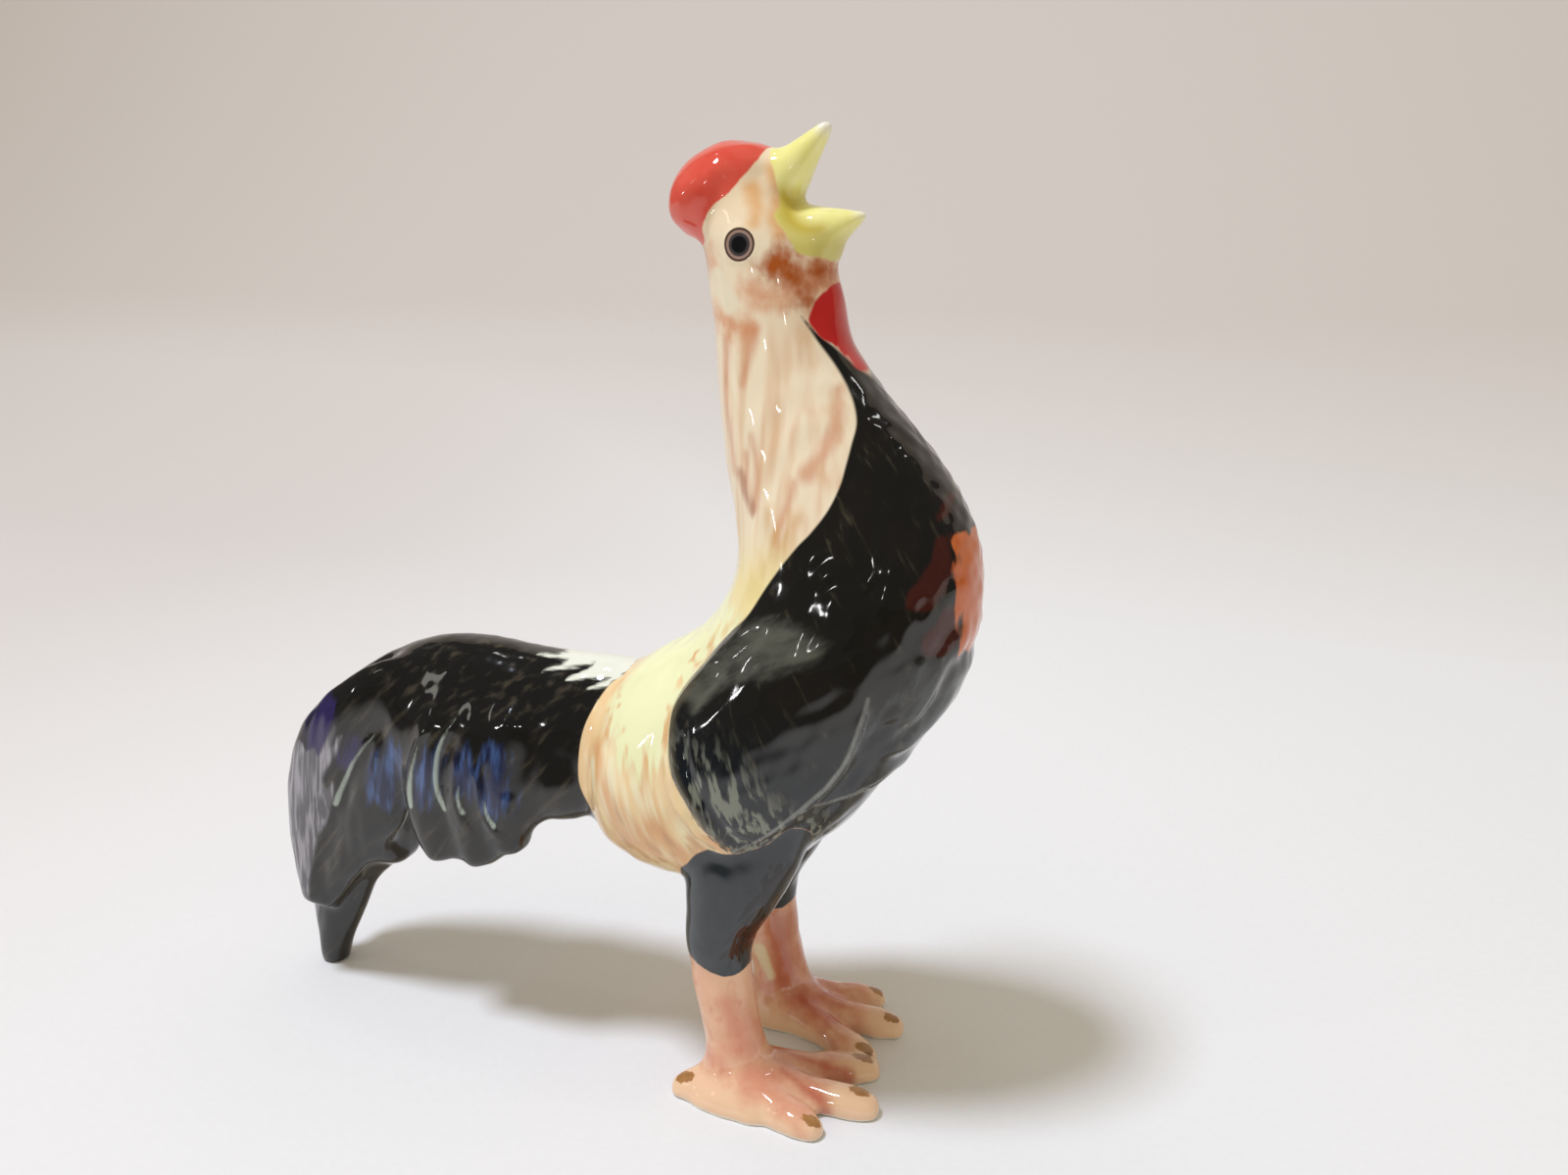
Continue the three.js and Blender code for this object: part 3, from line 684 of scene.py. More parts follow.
class Paint(Enum):
    """The paints, as the eye reads them: red, green and blue in steps of 255."""

    GROUND = (241, 226, 198)
    NECK_STROKE = (212, 164, 120)
    NECK_PALE = (246, 234, 208)
    NECK_RUST = (204, 134, 96)
    NECK_OCHRE = (208, 160, 96)
    NECK_UMBER = (172, 120, 94)
    NAPE_YELLOW = (240, 226, 160)
    FLANK_ORANGE = (220, 170, 118)
    FLANK_CREAM = (240, 216, 166)
    FLANK_STREAK = (240, 232, 196)
    FLANK_BROWN = (198, 152, 108)
    BAND_YELLOW = (238, 240, 194)
    SADDLE_RIM = (238, 204, 156)
    CAPE_GREEN = (20, 21, 15)
    CAPE_BROWN = (30, 25, 21)
    # Painted reflection: the floor mirrored in the lower cape, as a bluish slate.
    CAPE_REFLECTION_SLATE = (19, 24, 29)
    CAPE_STREAK = (72, 68, 52)
    # Painted highlight along the lower edge of the cape.
    CAPE_RIM_HIGHLIGHT = (112, 104, 84)
    SHOULDER_DARK = (62, 62, 56)
    SHOULDER_PALE = (94, 95, 85)
    WING_TIP = (122, 126, 114)
    # Painted highlight along the breast's feather folds.
    GLEAM = (104, 110, 110)
    # Thin glaze over the white body on the wing's crests, with a painted highlight.
    RIDGE_GLAZE_AND_HIGHLIGHT = (158, 162, 158)
    RUSSET = (70, 27, 18)
    SALMON_DEEP = (188, 88, 38)
    SALMON_PALE = (206, 118, 66)
    BROW_CREAM = (236, 214, 180)
    CHEEK_BLUSH = (214, 144, 102)
    CHEEK_OCHRE = (222, 160, 84)
    CHEEK_RUST = (168, 84, 28)
    EAR_WHITE = (236, 226, 200)
    BEAK_YELLOW = (232, 226, 128)
    BEAK_PALE = (244, 240, 176)
    BEAK_SHADE_OLIVE = (192, 178, 88)
    # Painted shade on the lower beak.
    BEAK_TIP = (238, 234, 216)
    # Painted shade in the corner of the gape.
    MOUTH_SHADE_OLIVE = (192, 170, 48)
    COMB_RED = (208, 58, 44)
    COMB_ROSE = (228, 108, 90)
    WATTLE_RED = (190, 38, 34)
    EYE_LINE = (70, 46, 38)
    EYE_RING = (158, 132, 118)
    IRIS = (64, 58, 60)
    PUPIL = (14, 12, 14)
    TAIL_BLACK = (24, 23, 20)
    TAIL_BROWN = (66, 60, 50)
    TAIL_VIOLET = (50, 40, 92)
    BLUE_DEEP = (26, 32, 66)
    BLUE_PALE = (66, 92, 142)
    VEIL_GREY = (96, 96, 102)
    VEIL_PALE = (158, 156, 166)
    # Painted highlight along the edges of the tail feathers.
    LIP_HIGHLIGHT = (176, 190, 180)
    ROOT_WHITE = (230, 233, 220)
    LEG_PINK = (220, 162, 130)
    LEG_PALE = (238, 198, 164)
    LEG_BLUSH = (202, 108, 82)
    LEG_BLOTCH = (200, 106, 80)
    LEG_SHADE = (178, 88, 60)
    SHANK_CREAM = (226, 208, 164)
    TOE_CREAM = (240, 208, 172)
    # Painted shade between the toes.
    TOE_CREASE_SHADE = (182, 84, 60)
    BARE_SOLE = (232, 224, 210)
    THIGH_SLATE = (30, 35, 40)
    THIGH_PALE = (50, 57, 62)
    THIGH_HATCH = (24, 18, 18)
    CLAW_DEEP = (140, 92, 44)
    CLAW_PALE = (188, 140, 84)

    def light(self) -> Colour:
        """Turns the paint into light for a shader."""
        shares = [value / 255 for value in self.value]
        return tuple(s / 12.92 if s <= 0.04045 else ((s + 0.055) / 1.055) ** 2.4 for s in shares)


@dataclass(frozen=True)
class Brush:
    """The soft strokes of a brush, drawn out along one direction of the side view.

    Attributes:
        length: The length of a stroke, in mm.
        width: The width of a stroke, in mm.
        lean: How far the strokes lean back from upright, in degrees.
        detail: How rough they are.
        seed: A shift that makes brushes differ.
        cut: The values of the pattern between which a stroke fades in.
        strength: How much of what lies below the strokes cover.
    """

    length: float
    width: float
    lean: float
    detail: float
    seed: float
    cut: Span = (0.0, 1.0)
    strength: float = 1.0


@dataclass(frozen=True)
class Area:
    """A marked area and the way in which paint ends at its edge.

    Attributes:
        field: The name of its field on the skin, a depth in mm.
        edge: How soft its edge is, in mm.
        reach: How far strokes stray over the edge, in mm.
        strength: How much of what lies below the paint covers.
    """

    field: str
    edge: float
    reach: float = 0.0
    strength: float = 1.0


@dataclass(frozen=True)
class Level:
    """A range of height over which paint comes up.

    Attributes:
        none: The height at which there is none of it, in mm.
        full: The height at which there is all of it, in mm.
        strength: How much of what lies below it covers there.
    """

    none: float
    full: float
    strength: float = 1.0


# The range of height in which the soles are left bare.
SOLE = Level(0.5, 0.2)


class Graph:
    """Short ways to add the nodes of a paint or a glaze to one node tree."""

    def __init__(self, tree: bpy.types.NodeTree) -> None:
        """Starts on a tree, with the place on the figurine in mm ready for patterns.

        Args:
            tree: The node tree.
        """
        self.tree = tree
        coordinates = self.node("ShaderNodeTexCoord")
        self.place = self.node("ShaderNodeMapping")
        self.place.inputs["Scale"].default_value = (1 / MM, 1 / MM, 1 / MM)
        tree.links.new(coordinates.outputs["Object"], self.place.inputs["Vector"])

    def node(self, kind: str) -> bpy.types.Node:
        """Adds a node of a kind."""
        return self.tree.nodes.new(kind)

    def feed(self, socket: bpy.types.NodeSocket, value: object) -> None:
        """Links a socket to another one, or sets its value.

        Args:
            socket: The input to feed.
            value: An output socket, a number, a paint or a colour.
        """
        if isinstance(value, Paint):
            value = value.light()
        if isinstance(value, bpy.types.NodeSocket):
            self.tree.links.new(value, socket)
        elif isinstance(value, tuple) and socket.type == "RGBA":
            socket.default_value = (*value, 1)
        else:
            socket.default_value = value

    def field(self, name: str) -> bpy.types.NodeSocket:
        """Reads a field of the skin.

        Args:
            name: The name of the field.

        Returns:
            Its value.
        """
        node = self.node("ShaderNodeAttribute")
        node.attribute_name = name
        return node.outputs["Fac"]

    def parts(self) -> bpy.types.Node:
        """Splits the place on the figurine into its three lengths.

        Returns:
            The node with the outputs X, Y and Z, in mm.
        """
        node = self.node("ShaderNodeSeparateXYZ")
        self.tree.links.new(self.place.outputs["Vector"], node.inputs["Vector"])
        return node

    def height(self) -> bpy.types.NodeSocket:
        """Gives the height over the floor, in mm."""
        return self.parts().outputs["Z"]

    def side_gap(self, x: float, z: float) -> bpy.types.NodeSocket:
        """Measures the distance to a place of the side view.

        Args:
            x: How far forward the place lies, in mm.
            z: How high it lies, in mm.

        Returns:
            The distance, in mm.
        """
        place = self.parts()
        ahead = self.calc("SUBTRACT", place.outputs["X"], x)
        above = self.calc("SUBTRACT", place.outputs["Z"], z)
        squares = self.calc("ADD", self.times(ahead, ahead), self.times(above, above))
        return self.calc("SQRT", squares)

    def calc(self, operation: str, first: object, second: object = 0.0) -> bpy.types.NodeSocket:
        """Adds a sum.

        Args:
            operation: The sum's name in Blender.
            first: Its first value.
            second: Its second value.

        Returns:
            The result.
        """
        node = self.node("ShaderNodeMath")
        node.operation = operation
        self.feed(node.inputs[0], first)
        self.feed(node.inputs[1], second)
        return node.outputs[0]

    def times(self, first: object, *others: object) -> object:
        """Multiplies values.

        Args:
            first: The first value.
            others: The values to multiply it by.

        Returns:
            The product.
        """
        product = first
        for other in others:
            product = product if other == 1 else self.calc("MULTIPLY", product, other)
        return product

    def fade(self, value: object, low: float, high: float) -> bpy.types.NodeSocket:
        """Turns a value into a share that rises smoothly from 0 at low to 1 at high.

        Args:
            value: The value.
            low: Where the share is 0.
            high: Where the share is 1.

        Returns:
            The share.
        """
        node = self.node("ShaderNodeMapRange")
        node.interpolation_type = "SMOOTHSTEP"
        self.feed(node.inputs["Value"], value)
        node.inputs["From Min"].default_value = low
        node.inputs["From Max"].default_value = high
        return node.outputs["Result"]

    def pattern(self, brush: Brush) -> bpy.types.NodeSocket:
        """Adds the soft pattern of a brush.

        Args:
            brush: The brush.

        Returns:
            The pattern, from 0 to 1.
        """
        turn = self.node("ShaderNodeMapping")
        turn.vector_type = "TEXTURE"
        turn.inputs["Location"].default_value = (brush.seed, 3 * brush.seed, 7 * brush.seed)
        turn.inputs["Rotation"].default_value = (0, math.radians(brush.lean), 0)
        turn.inputs["Scale"].default_value = (brush.width, brush.width, brush.length)
        self.tree.links.new(self.place.outputs["Vector"], turn.inputs["Vector"])
        noise = self.node("ShaderNodeTexNoise")
        noise.inputs["Scale"].default_value = 1
        noise.inputs["Detail"].default_value = brush.detail
        self.tree.links.new(turn.outputs["Vector"], noise.inputs["Vector"])
        return noise.outputs["Fac"]

    def strokes(self, brush: Brush) -> bpy.types.NodeSocket:
        """Adds the single strokes of a brush, from 0 between them to its strength on them."""
        return self.times(self.fade(self.pattern(brush), *brush.cut), brush.strength)

    def level(self, level: Level) -> bpy.types.NodeSocket:
        """Adds a range of height, from 0 outside it to its strength inside it."""
        return self.times(self.fade(self.height(), level.none, level.full), level.strength)

    def mix(self, share: object, under: object, over: object) -> bpy.types.NodeSocket:
        """Mixes two colours.

        Args:
            share: How much of the upper colour shows.
            under: The lower colour.
            over: The upper colour.

        Returns:
            The mixed colour.
        """
        node = self.node("ShaderNodeMix")
        node.data_type = "RGBA"
        self.feed(node.inputs["Factor"], share)
        self.feed(node.inputs["A"], under)
        self.feed(node.inputs["B"], over)
        return node.outputs["Result"]


class Palette:
    """Lays paints over each other, from the ground up."""

    def __init__(self, graph: Graph, ground: object) -> None:
        """Starts with the bare ground."""
        self.graph = graph
        self.colour = ground

    def lay(self, colour: object, mask: object, strength: float = 1.0) -> None:
        """Lays one paint over what is there.

        Args:
            colour: The paint, or an output socket.
            mask: Where it lies, from 0 to 1.
            strength: How much it covers there.
        """
        self.colour = self.graph.mix(self.graph.times(mask, strength), self.colour, colour)

    def fill(self, area: Area, colour: object, wobble: object = 0.5) -> None:
        """Lays one paint in a marked area.

        Args:
            area: The area.
            colour: The paint, or an output socket.
            wobble: A pattern from 0 to 1 that moves the edge.
        """
        self.lay(colour, self.ragged(area, wobble), area.strength)

    def ragged(self, area: Area, wobble: object = 0.5) -> bpy.types.NodeSocket:
        """Makes a mask with a brushed edge for a marked area.

        Args:
            area: The area.
            wobble: A pattern from 0 to 1 that moves the edge.

        Returns:
            The mask.
        """
        graph = self.graph
        shift = graph.times(graph.calc("SUBTRACT", wobble, 0.5), 2 * area.reach)
        depth = graph.calc("ADD", graph.field(area.field), shift)
        return graph.fade(depth, -area.edge / 2, area.edge / 2)


def border(share: np.ndarray, reach: float = 2.3) -> np.ndarray:
    """Turns a smoothed share of sections into a rough depth in mm inside them."""
    return (share - 0.5) * reach


@dataclass(frozen=True)
class Touch:
    """One touch of the brush along a line of the side view.

    Attributes:
        line: Its points, as x and z in mm.
        start: Half its width at its start, in mm.
        end: Half its width at its end, in mm.
    """

    line: Outline
    start: float
    end: float

    def depth(self, places: np.ndarray) -> np.ndarray:
        """Measures how deep each place lies inside the touch, negative outside it."""
        gap, share, _ = side_distance(places, rounded(self.line))
        return self.start + (self.end - self.start) * share - gap


def touched(places: np.ndarray, touches: Sequence[Touch]) -> np.ndarray:
    """Measures how deep each place lies inside the nearest of some touches."""
    return np.max([touch.depth(places) for touch in touches], axis=0)


@dataclass(frozen=True)
class Fold:
    """A fold of the relief along a line of the side view.

    Attributes:
        line: Its points, as x and z in mm.
        crest: How high it stands, or how deep it lies where negative, in mm.
        width: Its half width, in mm.
        step: How much higher the side on its left lies, in mm.
        reach: How far that step runs out, in mm.
        sharpness: Over what width the step rises, in mm.
        ending: The share of its length over which it runs out at each end.
    """

    line: Outline
    crest: float
    width: float
    step: float = 0.0
    reach: float = 2.0
    sharpness: float = 0.2
    ending: float = 0.2

    def height(self, places: np.ndarray) -> np.ndarray:
        """Gives the height that the fold adds.

        Args:
            places: Points in mm.

        Returns:
            The height at each point, in mm.
        """
        gap, share, side = side_distance(places, rounded(self.line))
        ends = smooth_step(share, 0, self.ending) * smooth_step(share, 1, 1 - self.ending)
        crest = self.crest * np.exp(-((gap / self.width) ** 2))
        rise = np.tanh(side * gap / self.sharpness) * np.exp(-((gap / self.reach) ** 2))
        step = self.step / 2 * rise
        return (crest + step) * ends


@dataclass
class Trunk:
    """Breast, wings, saddle and neck, with the black cape, the yellow band and the brushed neck."""

    cape: Outline = (
        (23.5, 78.6), (24.9, 76.95), (25.9, 75.95), (27.0, 74.8), (28.2, 73.6), (33.0, 69.0),
        (46.0, 60.0), (46.0, 18.0), (24.0, 18.0), (20.6, 27.4), (18.6, 29.2), (17.0, 31.3),
        (15.9, 33.2), (14.8, 34.9), (13.8, 36.6), (13.1, 38.6), (12.7, 41.0), (12.7, 42.8),
        (13.7, 44.7), (15.2, 46.6), (16.6, 48.4), (18.5, 50.5), (20.1, 52.1), (21.7, 54.6),
        (23.3, 56.9), (25.0, 59.1), (26.1, 60.3), (27.5, 62.3), (28.3, 64.3), (28.6, 66.0),
        (28.8, 67.7), (28.9, 69.4), (28.5, 70.8), (27.7, 72.3), (26.5, 74.1), (25.4, 75.6),
        (24.5, 76.9),
    )
    band: Outline = (
        (5.4, 47.0), (13.0, 53.4), (17.4, 52.4), (18.4, 50.8), (15.4, 47.4), (13.4, 43.8),
        (12.6, 40.0), (11.4, 37.0), (9.4, 34.4), (8.0, 36.0), (5.6, 38.0), (4.0, 40.8), (3.8, 43.6),
    )
    rim: Outline = (
        (7.0, 46.8), (4.6, 43.6), (2.9, 40.7), (1.6, 37.4), (1.0, 34.5), (1.2, 31.7), (2.4, 28.6),
        (4.4, 26.2),
    )
    salmon_patch: Outline = (
        (37.6, 59.4), (37.9, 58.0), (38.0, 57.0), (38.2, 54.8), (38.5, 52.6), (38.6, 50.4),
        (38.8, 48.4), (41.0, 47.6), (42.0, 54.0), (41.0, 60.4), (38.9, 59.6),
    )
    shoulder: Outline = (
        (14.6, 43.6), (15.1, 45.5), (16.9, 48.0), (19.1, 50.2), (20.8, 51.3), (23.4, 52.3),
        (26.0, 52.1), (28.0, 51.0), (27.6, 49.8), (26.1, 49.0), (23.8, 48.5), (21.4, 47.4),
        (18.7, 46.2), (16.8, 44.8), (15.7, 43.4),
    )
    russets: Sequence[Touch] = (
        Touch(((37.0, 59.4), (36.9, 57.6), (36.6, 56.0), (36.0, 54.9)), 0.5, 1.3),
        Touch(((37.9, 53.2), (37.7, 51.9), (37.4, 50.7)), 0.5, 1.5),
        Touch(((36.6, 61.6), (36.7, 62.6)), 0.35, 0.2),
    )
    neck_strokes: Sequence[Touch] = (
        Touch(((27.0, 72.3), (27.4, 70.0), (26.9, 67.6), (25.4, 65.4)), 0.25, 0.75),
        Touch(((19.5, 77.2), (19.2, 75.2), (18.5, 72.6)), 0.6, 0.25),
        Touch(((24.2, 64.5), (23.6, 62.0), (22.9, 59.2)), 0.2, 0.55),
        Touch(((19.0, 66.4), (19.2, 64.4), (19.8, 62.6)), 0.3, 0.4),
        Touch(((16.6, 76.4), (16.4, 72.6), (16.8, 68.4), (17.4, 64.6)), 0.5, 0.3),
        Touch(((19.6, 68.0), (20.4, 65.0), (20.2, 62.0)), 0.2, 0.5),
    )
    umbers: Sequence[Touch] = (Touch(((18.4, 64.6), (19.1, 62.9), (19.9, 61.6)), 0.35, 0.6),)
    ochres: Sequence[Touch] = (
        Touch(((21.6, 61.8), (22.4, 59.4), (21.8, 56.8), (20.2, 54.2)), 0.3, 1.1),
        Touch(((24.6, 61.4), (23.6, 59.4), (22.2, 57.2)), 0.3, 0.6),
    )
    wing_edge: Fold = Fold(
        (
            (32.2, 47.2), (31.6, 44.5), (30.7, 41.2), (29.3, 38.4), (27.2, 36.0), (25.3, 34.1),
            (23.5, 32.3), (21.0, 30.4), (18.2, 28.6),
        ),
        0.2,
        0.35,
        -0.7,
        2.2,
    )
    folds: Sequence[Fold] = (
        Fold(
            ((34.2, 37.6), (32.1, 35.9), (30.0, 34.9), (27.6, 34.3), (25.4, 34.3)),
            0.2,
            0.35,
            -0.5,
            1.8,
        ),
        Fold(
            ((38.6, 52.0), (38.3, 50.0), (37.5, 48.5), (36.6, 46.2), (35.3, 43.6), (34.0, 41.8)),
            0.55,
            0.75,
        ),
        Fold(
            ((38.9, 48.6), (37.9, 45.1), (36.9, 43.1), (35.5, 41.4), (34.0, 39.8), (32.0, 38.4)),
            0.5,
            0.7,
        ),
        Fold(((36.6, 50.0), (35.8, 47.6), (34.4, 45.0), (32.6, 42.6)), 0.3, 0.7),
        Fold(((37.9, 49.2), (37.2, 46.4), (35.8, 43.4), (34.4, 41.2)), -0.3, 0.6),
    )
    # Pale lines on the wing's crests: the glaze thins there over the white body, and a painted
    # highlight lies on them.
    ridge_glaze_and_highlights: Sequence[Touch] = (
        Touch(((31.9, 46.0), (31.2, 43.2), (30.0, 39.8), (28.2, 37.0)), 0.1, 0.2),
        Touch(((28.2, 37.0), (25.3, 34.1), (22.2, 31.3), (18.6, 28.8)), 0.2, 0.1),
        Touch(((33.8, 37.2), (31.4, 35.6), (28.6, 34.6), (26.0, 34.3)), 0.08, 0.16),
    )
    # Painted highlights along the breast's feather folds.
    gleams: Sequence[Touch] = (
        Touch(((38.5, 50.6), (37.5, 48.5), (36.6, 46.2), (35.3, 43.6), (34.0, 41.6)), 0.1, 0.5),
        Touch(((38.7, 47.8), (37.7, 44.6), (36.2, 42.0), (34.2, 39.6)), 0.1, 0.45),
        Touch(((37.0, 50.4), (35.6, 47.6), (34.2, 45.4)), 0.1, 0.4),
        Touch(((33.4, 45.2), (31.8, 42.6), (30.6, 40.4)), 0.1, 0.35),
    )
    bulge: Swell = Swell((24.0, 12.0, 34.0), (9.0, 8.0, 6.5), 0.4)

    lip: Sequence[Bead] = (Bead(0.3, 0.7, 0.55), Bead(-0.24, 2.0, 0.6), Bead(-0.3, -0.4, 0.7))
    lip_top: Span = (53.0, 49.0)
    lip_foot: Span = (28.5, 31.0)
    lip_front: Span = (25.0, 21.0)
    cape_waves: Ripple = Ripple(0.05, 4.0, 2.2, 35, 11)
    neck_waves: Ripple = Ripple(0.05, 6.0, 2.4, 0, 12)
    saddle_waves: Ripple = Ripple(0.03, 6.0, 2.6, 20, 13)

    neck_end: Level = Level(80, 76)
    neck_broad: Brush = Brush(40, 1.7, 2, 0, 1, (0.56, 1.0), 0.62)
    neck_fine: Brush = Brush(24, 0.7, -2, 0, 5, strength=0.35)
    neck_pale: Brush = Brush(30, 1.2, 0, 0, 7, (0.5, 0.8), 0.6)
    neck_wobble: Brush = Brush(5, 0.9, 0, 1, 8)
    neck_coats: Sequence[tuple[Area, Paint]] = (
        (Area("neck_strokes", 1.3, 0.5, 0.65), Paint.NECK_RUST),
        (Area("neck_ochre", 2.2, 1.2, 0.7), Paint.NECK_OCHRE),
        (Area("umber", 0.9, 0.6, 0.75), Paint.NECK_UMBER),
    )

    nape: Level = Level(61, 54, 0.75)
    flank: Level = Level(54, 46)
    flank_blend: Brush = Brush(12, 2.6, -14, 1, 3, (0.3, 0.7))
    flank_streaks: Brush = Brush(16, 1.4, -14, 1, 9, (0.46, 0.7), 0.85)
    streak_top: Level = Level(50, 44)
    streak_foot: Level = Level(25, 33)
    flank_browns: Brush = Brush(8, 1.1, -20, 1, 15, (0.46, 0.7), 0.75)
    brown_top: Level = Level(35, 29)
    band_area: Area = Area("band", 1.8, 3.6)
    band_wobble: Brush = Brush(16, 1.1, -12, 1, 21)
    rim_width: Span = (1.7, 0.3)
    rim_strength: float = 0.75

    cape_tint: Brush = Brush(6, 4, 20, 2, 31)
    # Painted reflection: below this height the cape turns bluish slate for the pale floor that its
    # glaze mirrors.
    slate_reflection_top: Level = Level(46, 36)
    cape_streaks: Brush = Brush(5, 0.8, -28, 2, 33, (0.58, 0.8), 0.6)
    shoulder_area: Area = Area("shoulder", 1.8, 1.4, 0.9)
    shoulder_dabs: Brush = Brush(4, 1.4, 62, 3, 25, (0.3, 0.7))
    tip_strokes: Brush = Brush(3.6, 0.7, -14, 2, 35, (0.48, 0.62))
    tip_top: Level = Level(43, 36)
    tip_depth: Span = (10.0, 5.0)
    # The gleams are painted highlights, the pale wing crests are thin glaze with a painted
    # highlight, and russet is paint.
    cape_coats: Sequence[tuple[Area, Paint, Brush]] = (
        (Area("gleam", 1.0, 0.9, 0.4), Paint.GLEAM, Brush(3, 0.9, 30, 2, 29)),
        (Area("ridge_glaze_and_highlight", 0.35, 0.12, 0.6), Paint.RIDGE_GLAZE_AND_HIGHLIGHT, Brush(2, 1, 30, 2, 28)),
        (Area("russet", 0.5, 0.5, 0.85), Paint.RUSSET, Brush(4, 1.2, 10, 2, 37)),
    )
    salmon_area: Area = Area("salmon_patch", 0.35, 0.7)
    salmon_tint: Brush = Brush(3, 1.5, 10, 2, 39)
    salmon_wobble: Brush = Brush(4, 1.2, 10, 2, 37)
    tufts: Brush = Brush(3.5, 0.6, -18, 2, 27)
    tuft_top: Level = Level(36, 32)
    tuft_reach: float = 3.12
    # Painted highlight: a pale band just inside the cape's edge, low on the wing.
    cape_rim_highlight: Span = (1.3, 0.5)
    cape_rim_highlight_top: Level = Level(47, 44, 0.55)
    cape_edge: Span = (-0.12, 0.14)

    def sculpt(self, skin: Skin) -> None:
        """Presses the folds of the wing and the breast feathers into the skin.

        Args:
            skin: The skin.
        """
        places = skin.points
        height = sum(fold.height(places) for fold in (self.wing_edge, *self.folds))
        height = height + self.wing_lip(places) + self.bulge.rise(places)
        height = height + self.cape_waves.rise(places)
        body = skin.share_of("breast", *both_sides("wing")) * height
        neck = skin.share_of("neck") * self.neck_waves.rise(places)
        saddle = skin.share_of("saddle") * self.saddle_waves.rise(places)
        skin.press(body + neck + saddle)

    def wing_lip(self, places: np.ndarray) -> np.ndarray:
        """Gives the height of the rounded lip along the wing's rear edge.

        Args:
            places: Points in mm.

        Returns:
            The height at each point, in mm.
        """
        depth = inside_distance(places, rounded(self.cape, closed=True))
        x, _, z = places.T
        rear = smooth_step(z, *self.lip_top) * smooth_step(z, *self.lip_foot)
        rear = rear * smooth_step(x, *self.lip_front)
        return rear * sum(bead.rise(depth) for bead in self.lip)

    def mark(self, skin: Skin) -> None:
        """Marks the painted areas of the trunk on the skin.

        Args:
            skin: The skin.
        """
        skin.mark_area("cape", self.cape)
        skin.mark_area("band", self.band)
        skin.mark_area("salmon_patch", self.salmon_patch)
        skin.mark_area("shoulder", self.shoulder)
        skin.fields["rim"] = side_distance(skin.points, rounded(self.rim))[0]
        skin.mark_touches("russet", self.russets)
        skin.mark_touches("ridge_glaze_and_highlight", self.ridge_glaze_and_highlights)
        skin.mark_touches("gleam", self.gleams)
        skin.mark_touches("neck_strokes", self.neck_strokes)
        skin.mark_touches("umber", self.umbers)
        skin.mark_touches("neck_ochre", self.ochres)

    def paint(self, palette: Palette) -> None:
        """Lays the neck's strokes, the saddle and the cape.

        Args:
            palette: The paints.
        """
        self.paint_neck(palette)
        self.paint_saddle(palette)
        self.paint_cape(palette)

    def paint_neck(self, palette: Palette) -> None:
        """Lays the soft upright strokes of the neck.

        Args:
            palette: The paints.
        """
        graph = palette.graph
        below = graph.level(self.neck_end)
        fine = graph.times(graph.pattern(self.neck_fine), self.neck_fine.strength)
        strokes = graph.calc("ADD", graph.pattern(self.neck_broad), fine)
        strokes = graph.times(graph.fade(strokes, *self.neck_broad.cut), below)
        palette.lay(Paint.NECK_STROKE, strokes, self.neck_broad.strength)
        palette.lay(Paint.NECK_PALE, graph.times(graph.strokes(self.neck_pale), below))
        wobble = graph.pattern(self.neck_wobble)
        for area, colour in self.neck_coats:
            palette.fill(area, colour, wobble)

    def paint_saddle(self, palette: Palette) -> None:
        """Lays the orange ground, the cream strokes and the yellow band of the saddle.

        Args:
            palette: The paints.
        """
        graph = palette.graph
        warm = graph.mix(graph.strokes(self.flank_blend), Paint.FLANK_ORANGE, Paint.FLANK_CREAM)
        palette.lay(Paint.NAPE_YELLOW, graph.level(self.nape))
        palette.lay(warm, graph.level(self.flank))
        middle = graph.times(graph.level(self.streak_top), graph.level(self.streak_foot))
        palette.lay(Paint.FLANK_STREAK, graph.times(graph.strokes(self.flank_streaks), middle))
        low = graph.level(self.brown_top)
        palette.lay(Paint.FLANK_BROWN, graph.times(graph.strokes(self.flank_browns), low))
        palette.fill(self.band_area, Paint.BAND_YELLOW, graph.pattern(self.band_wobble))
        rim = graph.fade(graph.field("rim"), *self.rim_width)
        palette.lay(Paint.SADDLE_RIM, rim, self.rim_strength)

    def paint_cape(self, palette: Palette) -> None:
        """Lays the black cape, its brush strokes and the salmon patch on the breast, with a painted
        reflection on the lower cape and painted highlights along its folds, crests and edge.

        Args:
            palette: The paints.
        """
        graph = palette.graph
        tint = graph.mix(graph.pattern(self.cape_tint), Paint.CAPE_GREEN, Paint.CAPE_BROWN)
        cape = Palette(graph, tint)
        # Painted reflection of the pale floor on the lower cape.
        cape.lay(Paint.CAPE_REFLECTION_SLATE, graph.level(self.slate_reflection_top))
        cape.lay(Paint.CAPE_STREAK, graph.strokes(self.cape_streaks))
        dabs = graph.pattern(self.shoulder_dabs)
        blend = graph.fade(dabs, *self.shoulder_dabs.cut)
        scumble = graph.mix(blend, Paint.SHOULDER_DARK, Paint.SHOULDER_PALE)
        cape.fill(self.shoulder_area, scumble, dabs)
        low = graph.fade(graph.field("cape"), *self.tip_depth)
        low = graph.times(graph.level(self.tip_top), low)
        cape.lay(Paint.WING_TIP, graph.times(graph.strokes(self.tip_strokes), low))
        for area, colour, brush in self.cape_coats:
            cape.fill(area, colour, graph.pattern(brush))
        salmon = graph.mix(graph.pattern(self.salmon_tint), Paint.SALMON_DEEP, Paint.SALMON_PALE)
        cape.fill(self.salmon_area, salmon, graph.pattern(self.salmon_wobble))
